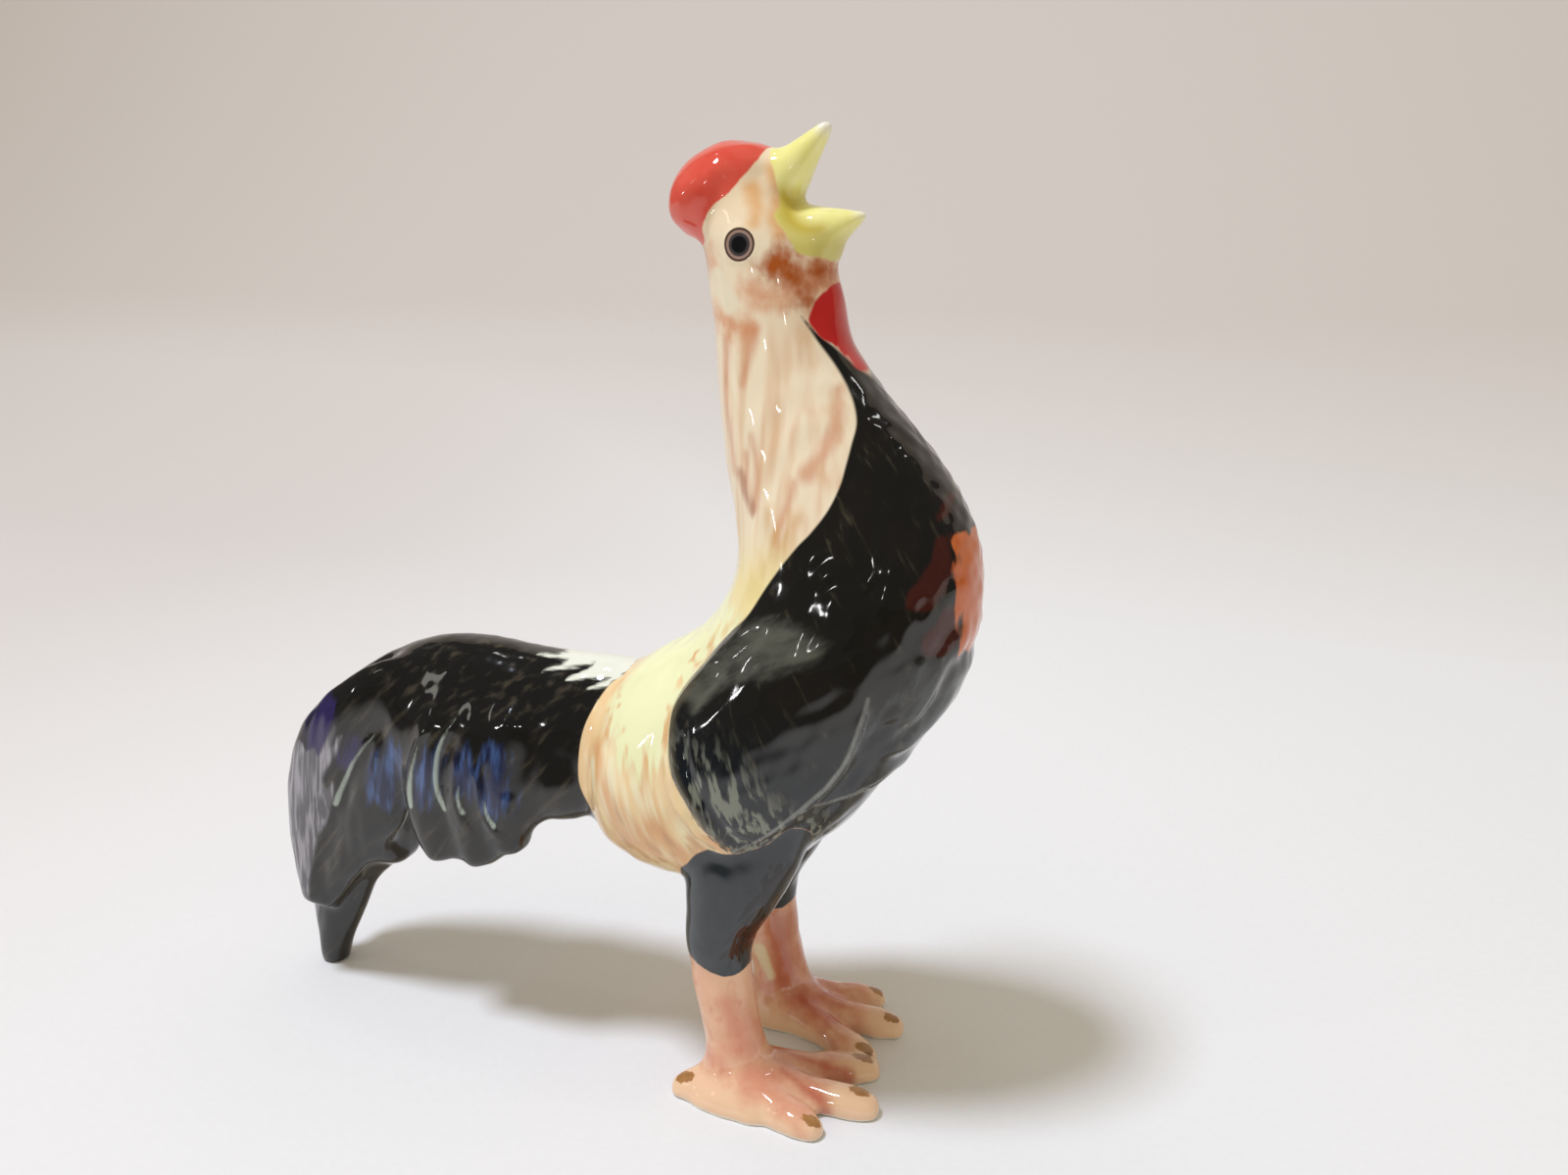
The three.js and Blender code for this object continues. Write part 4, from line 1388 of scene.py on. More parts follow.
        # The tufts fray the cape's edge; a painted highlight runs just inside it, low on the wing.
        tuft = graph.calc("SUBTRACT", graph.pattern(self.tufts), 0.5)
        tuft = graph.times(tuft, graph.level(self.tuft_top), self.tuft_reach)
        edge = graph.calc("ADD", graph.field("cape"), tuft)
        rim = graph.times(graph.fade(edge, *self.cape_rim_highlight), graph.level(self.cape_rim_highlight_top))
        cape.lay(Paint.CAPE_RIM_HIGHLIGHT, rim)
        palette.lay(cape.colour, graph.fade(edge, *self.cape_edge))


@dataclass
class Head:
    """Skull, comb, beak, wattle and eyes."""

    eye_place: tuple[float, float] = (18.2, 84.6)
    rust: Sequence[Touch] = (
        Touch(((22.4, 84.2), (22.2, 83.2), (21.3, 82.7)), 0.7, 1.1),
        Touch(((22.3, 83.0), (24.0, 82.3), (25.6, 82.2)), 1.0, 0.5),
        Touch(((22.0, 82.6), (23.2, 81.2), (23.6, 79.8)), 0.9, 0.5),
    )
    blush: Sequence[Touch] = (
        Touch(((13.4, 83.6), (14.9, 83.2)), 1.2, 0.7),
        Touch(((14.4, 78.4), (16.6, 78.0), (18.6, 77.4)), 0.7, 1.0),
        Touch(((19.4, 80.8), (21.0, 80.2), (22.8, 80.6), (24.6, 81.8)), 0.9, 1.6),
    )
    ochre: Sequence[Touch] = (
        Touch(((18.6, 89.4), (19.3, 87.8), (19.4, 86.4)), 0.5, 0.45),
        Touch(((20.0, 91.0), (20.6, 89.0), (20.9, 87.2), (21.6, 85.6)), 0.5, 0.6),
    )
    oval: Sequence[Touch] = (Touch(((15.8, 81.9), (16.4, 80.6), (17.2, 79.5)), 0.75, 0.95),)
    tips: Sequence[Place] = ((24.6, 95.0, 1.3), (28.0, 87.8, 1.1))
    # Painted shade in the corner of the beak's gape.
    mouth_shade: Sequence[Touch] = (
        Touch(((21.2, 88.6), (21.8, 86.8), (23.0, 85.9), (24.4, 85.8)), 0.8, 0.5),
    )

    beak_outline: Outline = (
        (19.1, 94.0), (19.3, 92.9), (20.0, 91.4), (20.6, 89.4), (20.8, 88.2), (20.8, 86.9),
        (21.6, 85.9), (22.6, 84.4), (23.2, 83.8), (24.9, 83.3), (25.8, 83.1), (34.0, 83.0),
        (34.0, 98.0), (20.0, 98.0),
    )
    comb_outline: Outline = (
        (19.2, 92.8), (18.2, 90.8), (16.8, 89.0), (15.1, 87.7), (13.9, 86.0), (13.2, 84.4),
        (6.0, 84.0), (6.0, 98.0), (19.2, 98.0), (19.4, 94.6),
    )
    wattle_outline: Outline = (
        (26.2, 81.5), (24.8, 80.4), (24.2, 78.9), (24.1, 78.0), (24.9, 76.9), (26.0, 75.9),
        (27.0, 74.8), (28.2, 73.6), (31.0, 73.0), (31.0, 81.5),
    )

    lid: Bead = Bead(0.1, 1.44, 0.3)
    comb_waves: Ripple = Ripple(0.05, 3.5, 3.0, 40, 21)
    face_waves: Ripple = Ripple(0.02, 4.0, 3.0, 0, 22)

    eye_rings: Sequence[tuple[float, Paint]] = (
        (1.44, Paint.EYE_LINE),
        (1.24, Paint.EYE_RING),
        (1.0, Paint.IRIS),
        (0.72, Paint.PUPIL),
    )
    eye_edge: float = 0.07
    brow: Level = Level(84, 88, 0.8)
    mottle: Brush = Brush(1.8, 1.4, 0, 3, 47)
    face_coats: Sequence[tuple[Area, Paint]] = (
        (Area("blush", 3.2, 1.9, 0.8), Paint.CHEEK_BLUSH),
        (Area("ochre", 1.4, 0.5, 0.7), Paint.CHEEK_OCHRE),
        (Area("rust", 2.6, 1.6), Paint.CHEEK_RUST),
        (Area("oval", 0.8, 0.2), Paint.EAR_WHITE),
    )
    edge_wobble: Brush = Brush(2, 1.2, 0, 2, 41)
    beak_tint: Brush = Brush(3, 1.5, 0, 1, 43)
    beak_area: Area = Area("beak", 0.3, 0.25)
    mouth_shade_area: Area = Area("mouth_shade", 1.8, 0.0, 0.9)
    # Painted shade: the lower beak turns olive below its top face.
    lower_beak: Level = Level(86.4, 84.2, 0.75)
    tip_edge: Span = (-0.6, 0.9)
    comb_tint: Brush = Brush(3, 2.4, 40, 3, 45)
    comb_area: Area = Area("comb", 0.22, 0.2)
    wattle_area: Area = Area("wattle", 0.22, 0.2)

    def sculpt(self, skin: Skin) -> None:
        """Raises the lids of the eyes a little.

        Args:
            skin: The skin.
        """
        places = skin.points
        away = np.hypot(places[:, 0] - self.eye_place[0], places[:, 2] - self.eye_place[1])
        comb = skin.share_of("comb") * self.comb_waves.rise(places)
        face = skin.share_of("head") * (self.lid.rise(away) + self.face_waves.rise(places))
        skin.press(comb + face)

    def mark(self, skin: Skin) -> None:
        """Marks the comb, the beak, the wattle and the touches of the face on the skin.

        Args:
            skin: The skin.
        """
        skin.mark_area("comb", self.comb_outline)
        skin.mark_area("beak", self.beak_outline)
        skin.mark_area("wattle", self.wattle_outline)
        skin.mark_touches("rust", self.rust)
        skin.mark_touches("blush", self.blush)
        skin.mark_touches("ochre", self.ochre)
        skin.mark_touches("oval", self.oval)
        skin.mark_touches("mouth_shade", self.mouth_shade)
        x, z = skin.points[:, 0], skin.points[:, 2]
        depths = [radius - np.hypot(x - ahead, z - above) for ahead, above, radius in self.tips]
        skin.fields["tip"] = np.max(depths, axis=0)

    def paint(self, palette: Palette) -> None:
        """Lays the face, the beak with painted shade in its gape and on its lower half, the comb,
        the wattle and the eyes.

        Args:
            palette: The paints.
        """
        self.paint_face(palette)
        graph = palette.graph
        wobble = graph.pattern(self.edge_wobble)
        yellow = graph.mix(graph.pattern(self.beak_tint), Paint.BEAK_YELLOW, Paint.BEAK_PALE)
        beak = Palette(graph, yellow)
        # Painted shade: deep olive in the corner of the gape.
        beak.fill(self.mouth_shade_area, Paint.MOUTH_SHADE_OLIVE)
        # Painted shade: olive on the lower beak, under its lit top face.
        beak.lay(Paint.BEAK_SHADE_OLIVE, graph.level(self.lower_beak))
        beak.lay(Paint.BEAK_TIP, graph.fade(graph.field("tip"), *self.tip_edge))
        palette.fill(self.beak_area, beak.colour, wobble)
        red = graph.mix(graph.pattern(self.comb_tint), Paint.COMB_RED, Paint.COMB_ROSE)
        palette.fill(self.comb_area, red, wobble)
        palette.fill(self.wattle_area, Paint.WATTLE_RED, wobble)
        self.paint_eye(palette)

    def paint_face(self, palette: Palette) -> None:
        """Lays the mottled salmon, the rust, the ochre and the white of the face.

        Args:
            palette: The paints.
        """
        graph = palette.graph
        mottle = graph.pattern(self.mottle)
        palette.lay(Paint.BROW_CREAM, graph.level(self.brow))
        for area, colour in self.face_coats:
            palette.fill(area, colour, mottle)

    def paint_eye(self, palette: Palette) -> None:
        """Lays the rings of both eyes.

        Args:
            palette: The paints.
        """
        graph = palette.graph
        away = graph.side_gap(*self.eye_place)
        for radius, colour in self.eye_rings:
            ring = graph.fade(away, radius + self.eye_edge, radius - self.eye_edge)
            palette.lay(colour, ring)


@dataclass
class Tail:
    """Arch, sickles and coverts, painted black with a white root and blue patches."""

    root: Outline = (
        (-3.3, 43.2), (-6.6, 42.8), (-2.9, 42.6), (-5.0, 41.8), (0.2, 42.6), (-2.0, 41.3),
        (2.8, 41.9), (0.6, 40.8), (4.6, 41.6), (8.4, 43.0), (7.0, 48.0), (-3.0, 47.0),
    )
    lobes: ClassVar[Sequence[Pellet]] = (
        Pellet((-26.7, 1.0, 17.5), (2.4, 3.2, 2.9)),
        Pellet((-3.0, 2.6, 30.2), (6.4, 4.4, 4.7)),
        Pellet((-8.0, 4.6, 27.4), (4.0, 3.0, 4.0)),
        Pellet((-14.0, 5.0, 27.0), (4.0, 2.6, 4.0)),
    )
    bulge: Swell = Swell((-3.0, 8.0, 27.6), (14.0, 7.0, 6.0), 0.9)
    thumbs: Sequence[Swell] = (
        Swell((-4.2, 7.0, 29.6), (4.6, 6.0, 4.2), 1.2),
        Swell((-26.0, 2.5, 18.4), (2.8, 3.0, 2.4), 1.2),
        Swell((-13.0, 6.0, 37.0), (8.0, 3.0, 2.0), 0.9),
        Swell((-19.6, 0.0, 42.4), (5.0, 6.0, 3.4), 2.0),
    )
    crown: Swell = Swell((-21.0, 0.0, 42.6), (8.0, 5.0, 4.0), 0.8)
    tuck: Swell = Swell((-5.0, 5.0, 24.0), (2.8, 3.6, 2.0), -0.8)
    outline: Outline = (
        (4.6, 43.4), (2.9, 41.4), (1.7, 39.2), (0.9, 37.0), (0.5, 34.4), (0.4, 31.6), (1.0, 29.4),
        (2.0, 27.6), (1.4, 25.4), (0.4, 22.0), (-6.0, 14.0), (-24.0, 0.0), (-48.0, -8.0),
        (-48.0, 50.0), (4.6, 50.0),
    )
    blues: Sequence[Touch] = (
        Touch(((-8.4, 32.8), (-8.4, 30.4), (-8.4, 28.6)), 1.3, 1.5),
        Touch(((-11.6, 32.2), (-11.7, 29.8)), 1.1, 1.4),
        Touch(((-16.2, 32.6), (-16.9, 30.2), (-17.2, 28.0)), 0.8, 1.5),
        Touch(((-21.8, 31.8), (-23.4, 28.8), (-24.2, 26.4)), 1.0, 1.9),
    )
    violets: Sequence[Touch] = (
        Touch(((-30.4, 35.4), (-32.0, 32.4), (-32.8, 29.2)), 1.2, 1.6),
        Touch(((-27.0, 32.0), (-28.6, 29.0)), 0.5, 0.7),
    )
    veil: Outline = (
        (-35.0, 30.8), (-33.8, 29.9), (-32.7, 30.4), (-32.1, 29.5), (-30.7, 31.5), (-29.3, 33.6),
        (-30.1, 31.0), (-28.5, 32.6), (-30.0, 29.8), (-31.7, 27.4), (-31.9, 26.0), (-31.4, 25.6),
        (-30.7, 26.7), (-30.7, 25.8), (-31.9, 23.0), (-32.7, 21.2), (-34.6, 17.9), (-35.4, 15.4),
        (-36.3, 12.7), (-37.5, 8.6), (-39.4, 4.6), (-42.0, 3.0), (-42.0, 29.0), (-36.6, 29.6),
    )
    # Painted highlights along the edges of the tail feathers.
    lip_highlights: Sequence[Touch] = (
        Touch(((-24.6, 33.0), (-26.9, 30.4), (-28.9, 27.4), (-31.0, 23.6)), 0.0, 0.28),
        Touch(((-17.6, 33.6), (-18.6, 30.9), (-19.2, 28.2), (-19.3, 26.4)), 0.0, 0.36),
        Touch(
            ((-13.4, 36.8), (-15.0, 33.8), (-15.6, 31.3), (-15.6, 28.7), (-15.0, 26.6)),
            0.0,
            0.3,
        ),
        Touch(((-12.8, 29.8), (-12.9, 28.3), (-12.5, 26.9)), 0.0, 0.26),
        Touch(((-9.8, 28.6), (-9.5, 27.0), (-8.8, 25.9)), 0.0, 0.26),
    )
    folds: Sequence[Fold] = (
        Fold(((-24.6, 33.0), (-26.9, 30.4), (-28.9, 27.4), (-31.4, 22.9)), 0.16, 0.4, -0.25, 1.6),
        Fold(
            ((-15.5, 36.1), (-17.3, 34.1), (-18.6, 30.9), (-19.2, 28.2), (-19.3, 25.9)),
            0.2,
            0.42,
            -0.3,
            1.6,
        ),
        Fold(
            ((-13.1, 36.8), (-14.9, 34), (-15.6, 31.3), (-15.6, 28.7), (-15.2, 26.3)),
            0.2,
            0.4,
            -0.3,
            1.6,
        ),
        Fold(
            ((-12.4, 33.4), (-12.8, 31.4), (-13.1, 29.1), (-12.9, 27.1), (-11.4, 23.3)),
            0.16,
            0.5,
            -0.2,
            1.4,
        ),
        Fold(((-10.7, 32.8), (-10.3, 30.3), (-9.6, 26.6), (-7.4, 24)), 0.16, 0.5, -0.2, 1.4),
        Fold(((-7.4, 30), (-7.2, 27.4), (-5, 25.9)), 0.1, 0.7),
    )

    waves: Ripple = Ripple(0.02, 6.0, 2.2, 15, 31)
    wave_gain: float = 1.5
    wave_drop: Span = (36.0, 30.0)
    thumb_reach: float = 1.8

    streaks: Brush = Brush(7, 0.9, 42, 3, 51, (0.5, 0.78))
    flow: Brush = Brush(5, 0.9, 14, 2, 53)
    violet_area: Area = Area("violet", 1.4, 1.8, 0.8)
    blue_area: Area = Area("blue", 2.2, 2.6)
    blue_hairs: Brush = Brush(5, 0.7, 4, 3, 57, (0.4, 0.7))
    veil_area: Area = Area("grey", 0.6, 0.3)
    veil_hairs: Brush = Brush(9, 0.45, 8, 2, 63, (0.42, 0.66))
    lip_highlight_area: Area = Area("lip", 0.35, 0.2, 0.8)
    tail_area: Area = Area("tail", 0.2)
    root_area: Area = Area("root", 0.3, 0.3)
    root_wobble: Brush = Brush(3, 0.5, 78, 2, 61)

    @staticmethod
    def share(skin: Skin) -> np.ndarray:
        """Gives the share of the tail at each point."""
        return skin.share_of("tail_arch", "centre_sickle", *both_sides("sickle", "coverts"))

    def sculpt(self, skin: Skin) -> None:
        """Presses the lips of the feathers into the skin.

        Args:
            skin: The skin.
        """
        skin.smooth(self.thumbs, self.thumb_reach)
        places = skin.points
        height = sum(fold.height(places) for fold in self.folds)
        height = height + sum(swell.rise(places) for swell in (self.bulge, self.crown, self.tuck))
        gain = 1 + self.wave_gain * smooth_step(places[:, 2], *self.wave_drop)
        skin.press(self.share(skin) * (height + gain * self.waves.rise(places)))

    def mark(self, skin: Skin) -> None:
        """Marks the tail, its white root and its coloured touches on the skin.

        Args:
            skin: The skin.
        """
        skin.mark_area("tail", self.outline)
        skin.mark_area("root", self.root, steps=3)
        skin.fields["root"] = np.minimum(skin.fields["root"], skin.fields["tail"])
        skin.mark_area("grey", self.veil, steps=3)
        skin.mark_touches("blue", self.blues)
        skin.mark_touches("violet", self.violets)
        skin.mark_touches("lip", self.lip_highlights)

    def paint(self, palette: Palette) -> None:
        """Lays the tail's black, its white root, its coloured touches and the painted highlights
        along its feather edges.

        Args:
            palette: The paints.
        """
        graph = palette.graph
        flow = graph.pattern(self.flow)
        black = graph.mix(graph.strokes(self.streaks), Paint.TAIL_BLACK, Paint.TAIL_BROWN)
        tail = Palette(graph, black)
        tail.fill(self.violet_area, Paint.TAIL_VIOLET, flow)
        blue = graph.mix(graph.strokes(self.blue_hairs), Paint.BLUE_DEEP, Paint.BLUE_PALE)
        tail.fill(self.blue_area, blue, flow)
        grey = graph.mix(graph.strokes(self.veil_hairs), Paint.VEIL_GREY, Paint.VEIL_PALE)
        tail.fill(self.veil_area, grey, flow)
        # Painted highlights along the feather edges.
        tail.fill(self.lip_highlight_area, Paint.LIP_HIGHLIGHT, flow)
        palette.fill(self.tail_area, tail.colour)
        palette.fill(self.root_area, Paint.ROOT_WHITE, graph.pattern(self.root_wobble))


@dataclass
class Legs:
    """Thighs, shanks and feet."""

    claws: Sequence[Place] = (
        (12.9, 10.0, 2.1),
        (27.6, 11.9, 2.0),
        (30.7, 6.7, 2.5),
        (29.3, 0.9, 2.0),
    )
    thigh_edge: Outline = (
        (11.0, 17.4), (13.4, 16.1), (15.3, 15.1), (17.1, 14.4), (18.3, 14.4), (19.4, 15.2),
        (20.4, 17.2), (21.6, 19.6), (23.4, 22.4), (26.0, 25.0),
    )
    blush: Sequence[Touch] = (
        Touch(((17.6, 11.4), (18.6, 9.0), (19.0, 6.4)), 0.7, 1.3),
        Touch(((15.2, 4.6), (17.2, 4.2)), 0.8, 0.6),
        Touch(((20.0, 3.6), (23.6, 3.0), (26.6, 2.4)), 1.1, 0.7),
        Touch(((24.2, 2.5), (26.6, 1.0)), 0.5, 0.4),
    )
    cream: Sequence[Touch] = (Touch(((15.9, 9.0), (16.6, 7.6), (17.2, 6.2)), 0.9, 0.5),)
    far_shade: Sequence[Touch] = (
        Touch(((18.4, 12.6), (18.2, 8.0), (20.0, 4.6), (24.6, 3.4)), 1.6, 1.0),
    )
    patch: Sequence[Touch] = (
        Touch(((23.4, 26.6), (21.6, 23.0), (20.2, 20.0), (18.6, 17.0)), 1.0, 1.2),
    )

    swells: Sequence[Swell] = (
        Swell((17.2, 10.8, 0.6), (3.0, 1.6, 1.6), 0.75),
        Swell((21.6, 12.2, 0.6), (3.2, 1.5, 1.6), 0.6),
        Swell((29.6, 6.6, 2.2), (3.2, 2.0, 1.8), 0.35),
    )
    toe_reach: float = 1.0
    # Painted shade: darker red along the gaps between the toes.
    crease_shades: Sequence[Touch] = (
        Touch(((22.6, 7.4), (25.0, 8.0), (27.9, 8.9)), 0.1, 0.45),
        Touch(((20.6, 4.6), (24.4, 4.0), (28.8, 3.4)), 0.1, 0.45),
        Touch(((15.0, 6.6), (16.4, 9.4)), 0.3, 0.1),
    )

    waves: Ripple = Ripple(0.03, 4.0, 2.5, 0, 41)
    toe_front: Span = (24.0, 31.0)
    toe_top: Span = (7.0, 4.0)
    toe_side: Span = (-10.5, -8.5)
    crease_top: float = 4.0
    crease_fading: float = 0.4
    far_start: float = 1.0
    far_fading: float = 3.0
    claw_squeeze: Place = (0.62, 1.0, 1.0)
    claw_radius: float = 0.75

    leg_tint: Brush = Brush(5, 2.5, 0, 3, 75)
    toes: Level = Level(5.4, 1.4, 0.65)
    mottle: Brush = Brush(2.4, 1.8, 0, 3, 77)
    blush_area: Area = Area("leg_blush", 2.8, 1.2, 0.6)
    blotches: Brush = Brush(1.5, 1.2, 0, 3, 93, (0.5, 0.72), 0.35)
    blotch_foot: Level = Level(1.5, 4)
    # far_shade and the toe gaps get painted shade; the cream is paint.
    leg_coats: Sequence[tuple[Area, Paint]] = (
        (Area("far_shade", 2.4, 1.4, 0.6), Paint.LEG_SHADE),
        (Area("cream", 0.6, 0.4), Paint.SHANK_CREAM),
        (Area("crease_shade", 1.2, 0.4, 0.8), Paint.TOE_CREASE_SHADE),
    )
    leg_area: Area = Area("leg", 0.2)
    thigh_tint: Brush = Brush(4, 2, 10, 2, 71)
    hatch_area: Area = Area("patch", 0.5, 1.6)
    hatch_wobble: Brush = Brush(3, 0.5, 40, 2, 79)
    thigh_area: Area = Area("thigh", 0.2, 0.2)
    thigh_wobble: Brush = Brush(2, 1, 0, 2, 73)
    claw_tint: Brush = Brush(1, 0.6, 60, 3, 83)
    claw_area: Area = Area("claw", 0.16, 0.35)
    claw_wobble: Brush = Brush(0.6, 0.4, 0, 3, 85)

    def sculpt(self, skin: Skin) -> None:
        """Rounds the feet and leaves the low waves of the modelling tool on the legs.

        Args:
            skin: The skin.
        """
        height = sum(swell.rise(skin.points) for swell in self.swells)
        height = height + self.waves.rise(skin.points)
        skin.press(skin.share_of(*both_sides("thigh", "shank", "foot")) * height)
        x, y, z = skin.points.T
        front = smooth_step(x, *self.toe_front) * smooth_step(z, *self.toe_top)
        inner = smooth_step(y, *self.toe_side) * (y < 0)
        skin.points[:, 0] += self.toe_reach * front * inner

    def mark(self, skin: Skin) -> None:
        """Marks the thighs, the legs and the claws on the skin.

        Args:
            skin: The skin.
        """
        places = skin.points
        thigh = border(skin.share_of(*both_sides("thigh", "shank")))
        gap, _, side = side_distance(places, rounded(self.thigh_edge))
        skin.fields["thigh"] = np.minimum(thigh, gap * side)
        skin.fields["leg"] = border(skin.share_of(*both_sides("thigh", "shank", "foot")))
        skin.mark_touches("leg_blush", self.blush)
        skin.mark_touches("patch", self.patch)
        above = np.maximum(places[:, 2] - self.crease_top, 0)
        plan = mirrored(places)[:, [0, 2, 1]]
        skin.fields["crease_shade"] = touched(plan, self.crease_shades) - self.crease_fading * above
        far = self.far_fading * np.minimum(places[:, 1] - self.far_start, 0)
        skin.fields["cream"] = touched(places, self.cream) + far
        skin.fields["far_shade"] = touched(places, self.far_shade) + far
        aways = [(mirrored(places) - claw) * self.claw_squeeze for claw in self.claws]
        gaps = [np.linalg.norm(away, axis=1) for away in aways]
        skin.fields["claw"] = self.claw_radius - np.min(gaps, axis=0)

    def paint(self, palette: Palette) -> None:
        """Lays the slate of the thighs, the pink of the legs with painted shade on the far leg and
        between the toes, and the gold of the claws.

        Args:
            palette: The paints.
        """
        graph = palette.graph
        mottle = graph.pattern(self.mottle)
        pink = graph.mix(graph.pattern(self.leg_tint), Paint.LEG_PINK, Paint.LEG_PALE)
        leg = Palette(graph, pink)
        leg.lay(Paint.TOE_CREAM, graph.level(self.toes))
        leg.fill(self.blush_area, Paint.LEG_BLUSH, mottle)
        blotches = graph.times(graph.strokes(self.blotches), graph.level(self.blotch_foot))
        leg.lay(Paint.LEG_BLOTCH, blotches)
        for area, colour in self.leg_coats:
            leg.fill(area, colour, mottle)
        leg.lay(Paint.BARE_SOLE, graph.level(SOLE))
        palette.fill(self.leg_area, leg.colour)
        slate = graph.mix(graph.pattern(self.thigh_tint), Paint.THIGH_SLATE, Paint.THIGH_PALE)
        thigh = Palette(graph, slate)
        thigh.fill(self.hatch_area, Paint.THIGH_HATCH, graph.pattern(self.hatch_wobble))
        palette.fill(self.thigh_area, thigh.colour, graph.pattern(self.thigh_wobble))
        gold = graph.mix(graph.pattern(self.claw_tint), Paint.CLAW_DEEP, Paint.CLAW_PALE)
        palette.fill(self.claw_area, gold, graph.pattern(self.claw_wobble))


@dataclass(frozen=True)
class Glaze:
    """The clear glaze over the paint of one slot.

    Attributes:
        slot: The slot.
        index: Its index of refraction.
    """

    slot: Slot
    index: float = 1.63

    def material(self, painted: bpy.types.NodeTree) -> bpy.types.Material:
        """Builds the glaze over the shared painting.

        Args:
            painted: The node group of the painting.

        Returns:
            The material.
        """
        material = bpy.data.materials.new(self.slot.value)
        material.use_nodes = True
        tree = material.node_tree
        shader = tree.nodes["Principled BSDF"]
        shader.inputs["IOR"].default_value = self.index
        group = tree.nodes.new("ShaderNodeGroup")
        group.node_tree = painted
        tree.links.new(group.outputs["Colour"], shader.inputs["Base Color"])
        tree.links.new(group.outputs["Roughness"], shader.inputs["Roughness"])
        bump = tree.nodes.new("ShaderNodeBump")
        bump.inputs["Distance"].default_value = MM
        tree.links.new(group.outputs["Relief"], bump.inputs["Height"])
        tree.links.new(bump.outputs["Normal"], shader.inputs["Normal"])
        return material


@dataclass(frozen=True)
class Gloss:
    """How evenly the glaze lies and shines.

    Attributes:
        roughness: The roughness of its clearest places.
        haze: The pattern and the strength of the haze on it.
        claw: How much duller it is on the claws.
        sole: How much duller the bare soles are.
        peel: The pattern and the height in mm of its uneven surface.
    """

    roughness: float = 0.03
    haze: Brush = Brush(3, 3, 0, 3, 89, strength=0.08)
    claw: Area = Area("claw", 0.3, strength=0.2)
    sole: Level = replace(SOLE, strength=0.45)
    peel: Brush = Brush(1.6, 1.6, 0, 2, 81, strength=0.008)

    def dullness(self, palette: Palette) -> bpy.types.NodeSocket:
        """Adds the roughness of the glaze.

        Args:
            palette: The paints.

        Returns:
            The roughness.
        """
        graph = palette.graph
        haze = graph.times(graph.pattern(self.haze), self.haze.strength)
        claw = graph.times(palette.ragged(self.claw), self.claw.strength)
        rough = graph.calc("ADD", haze, self.roughness)
        return graph.calc("ADD", rough, graph.calc("ADD", claw, graph.level(self.sole)))

    def relief(self, graph: Graph) -> bpy.types.NodeSocket:
        """Adds the relief of the glaze, in mm."""
        return graph.times(graph.pattern(self.peel), self.peel.strength)


def painting(
    parts: Sequence[Trunk | Head | Tail | Legs], gloss: Gloss = Gloss()
) -> bpy.types.NodeTree:
    """Paints the whole figurine in one node group, so that the paint runs over the seams.

    Args:
        parts: The sub-assemblies, in the order in which they are painted.
        gloss: How evenly the glaze over them lies.

    Returns:
        The node group, with the colour, the roughness and the relief in mm of the glaze.
    """
    tree = bpy.data.node_groups.new("painting", "ShaderNodeTree")
    tree.interface.new_socket("Colour", in_out="OUTPUT", socket_type="NodeSocketColor")
    tree.interface.new_socket("Roughness", in_out="OUTPUT", socket_type="NodeSocketFloat")
    tree.interface.new_socket("Relief", in_out="OUTPUT", socket_type="NodeSocketFloat")
    graph = Graph(tree)
    palette = Palette(graph, Paint.GROUND)
    for part in parts:
        part.paint(palette)
    output = graph.node("NodeGroupOutput")
    graph.feed(output.inputs["Colour"], palette.colour)
    graph.feed(output.inputs["Roughness"], gloss.dullness(palette))
    graph.feed(output.inputs["Relief"], gloss.relief(graph))
    return tree


@dataclass(frozen=True)
class Lamp:
    """A lamp aimed at the figurine.

    Attributes:
        name: Its name.
        azimuth: Its direction, in degrees from the figurine's right side towards its head.
        rise: Its direction above the floor, in degrees.
        distance: How far it hangs, in metres.
        size: Its width and height, in metres.
        power: Its power in watts.
        colour: The colour of its light.
    """

    name: str
    azimuth: float
    rise: float
    distance: float
    size: tuple[float, float]
    power: float
    colour: Colour = (1.0, 1.0, 1.0)


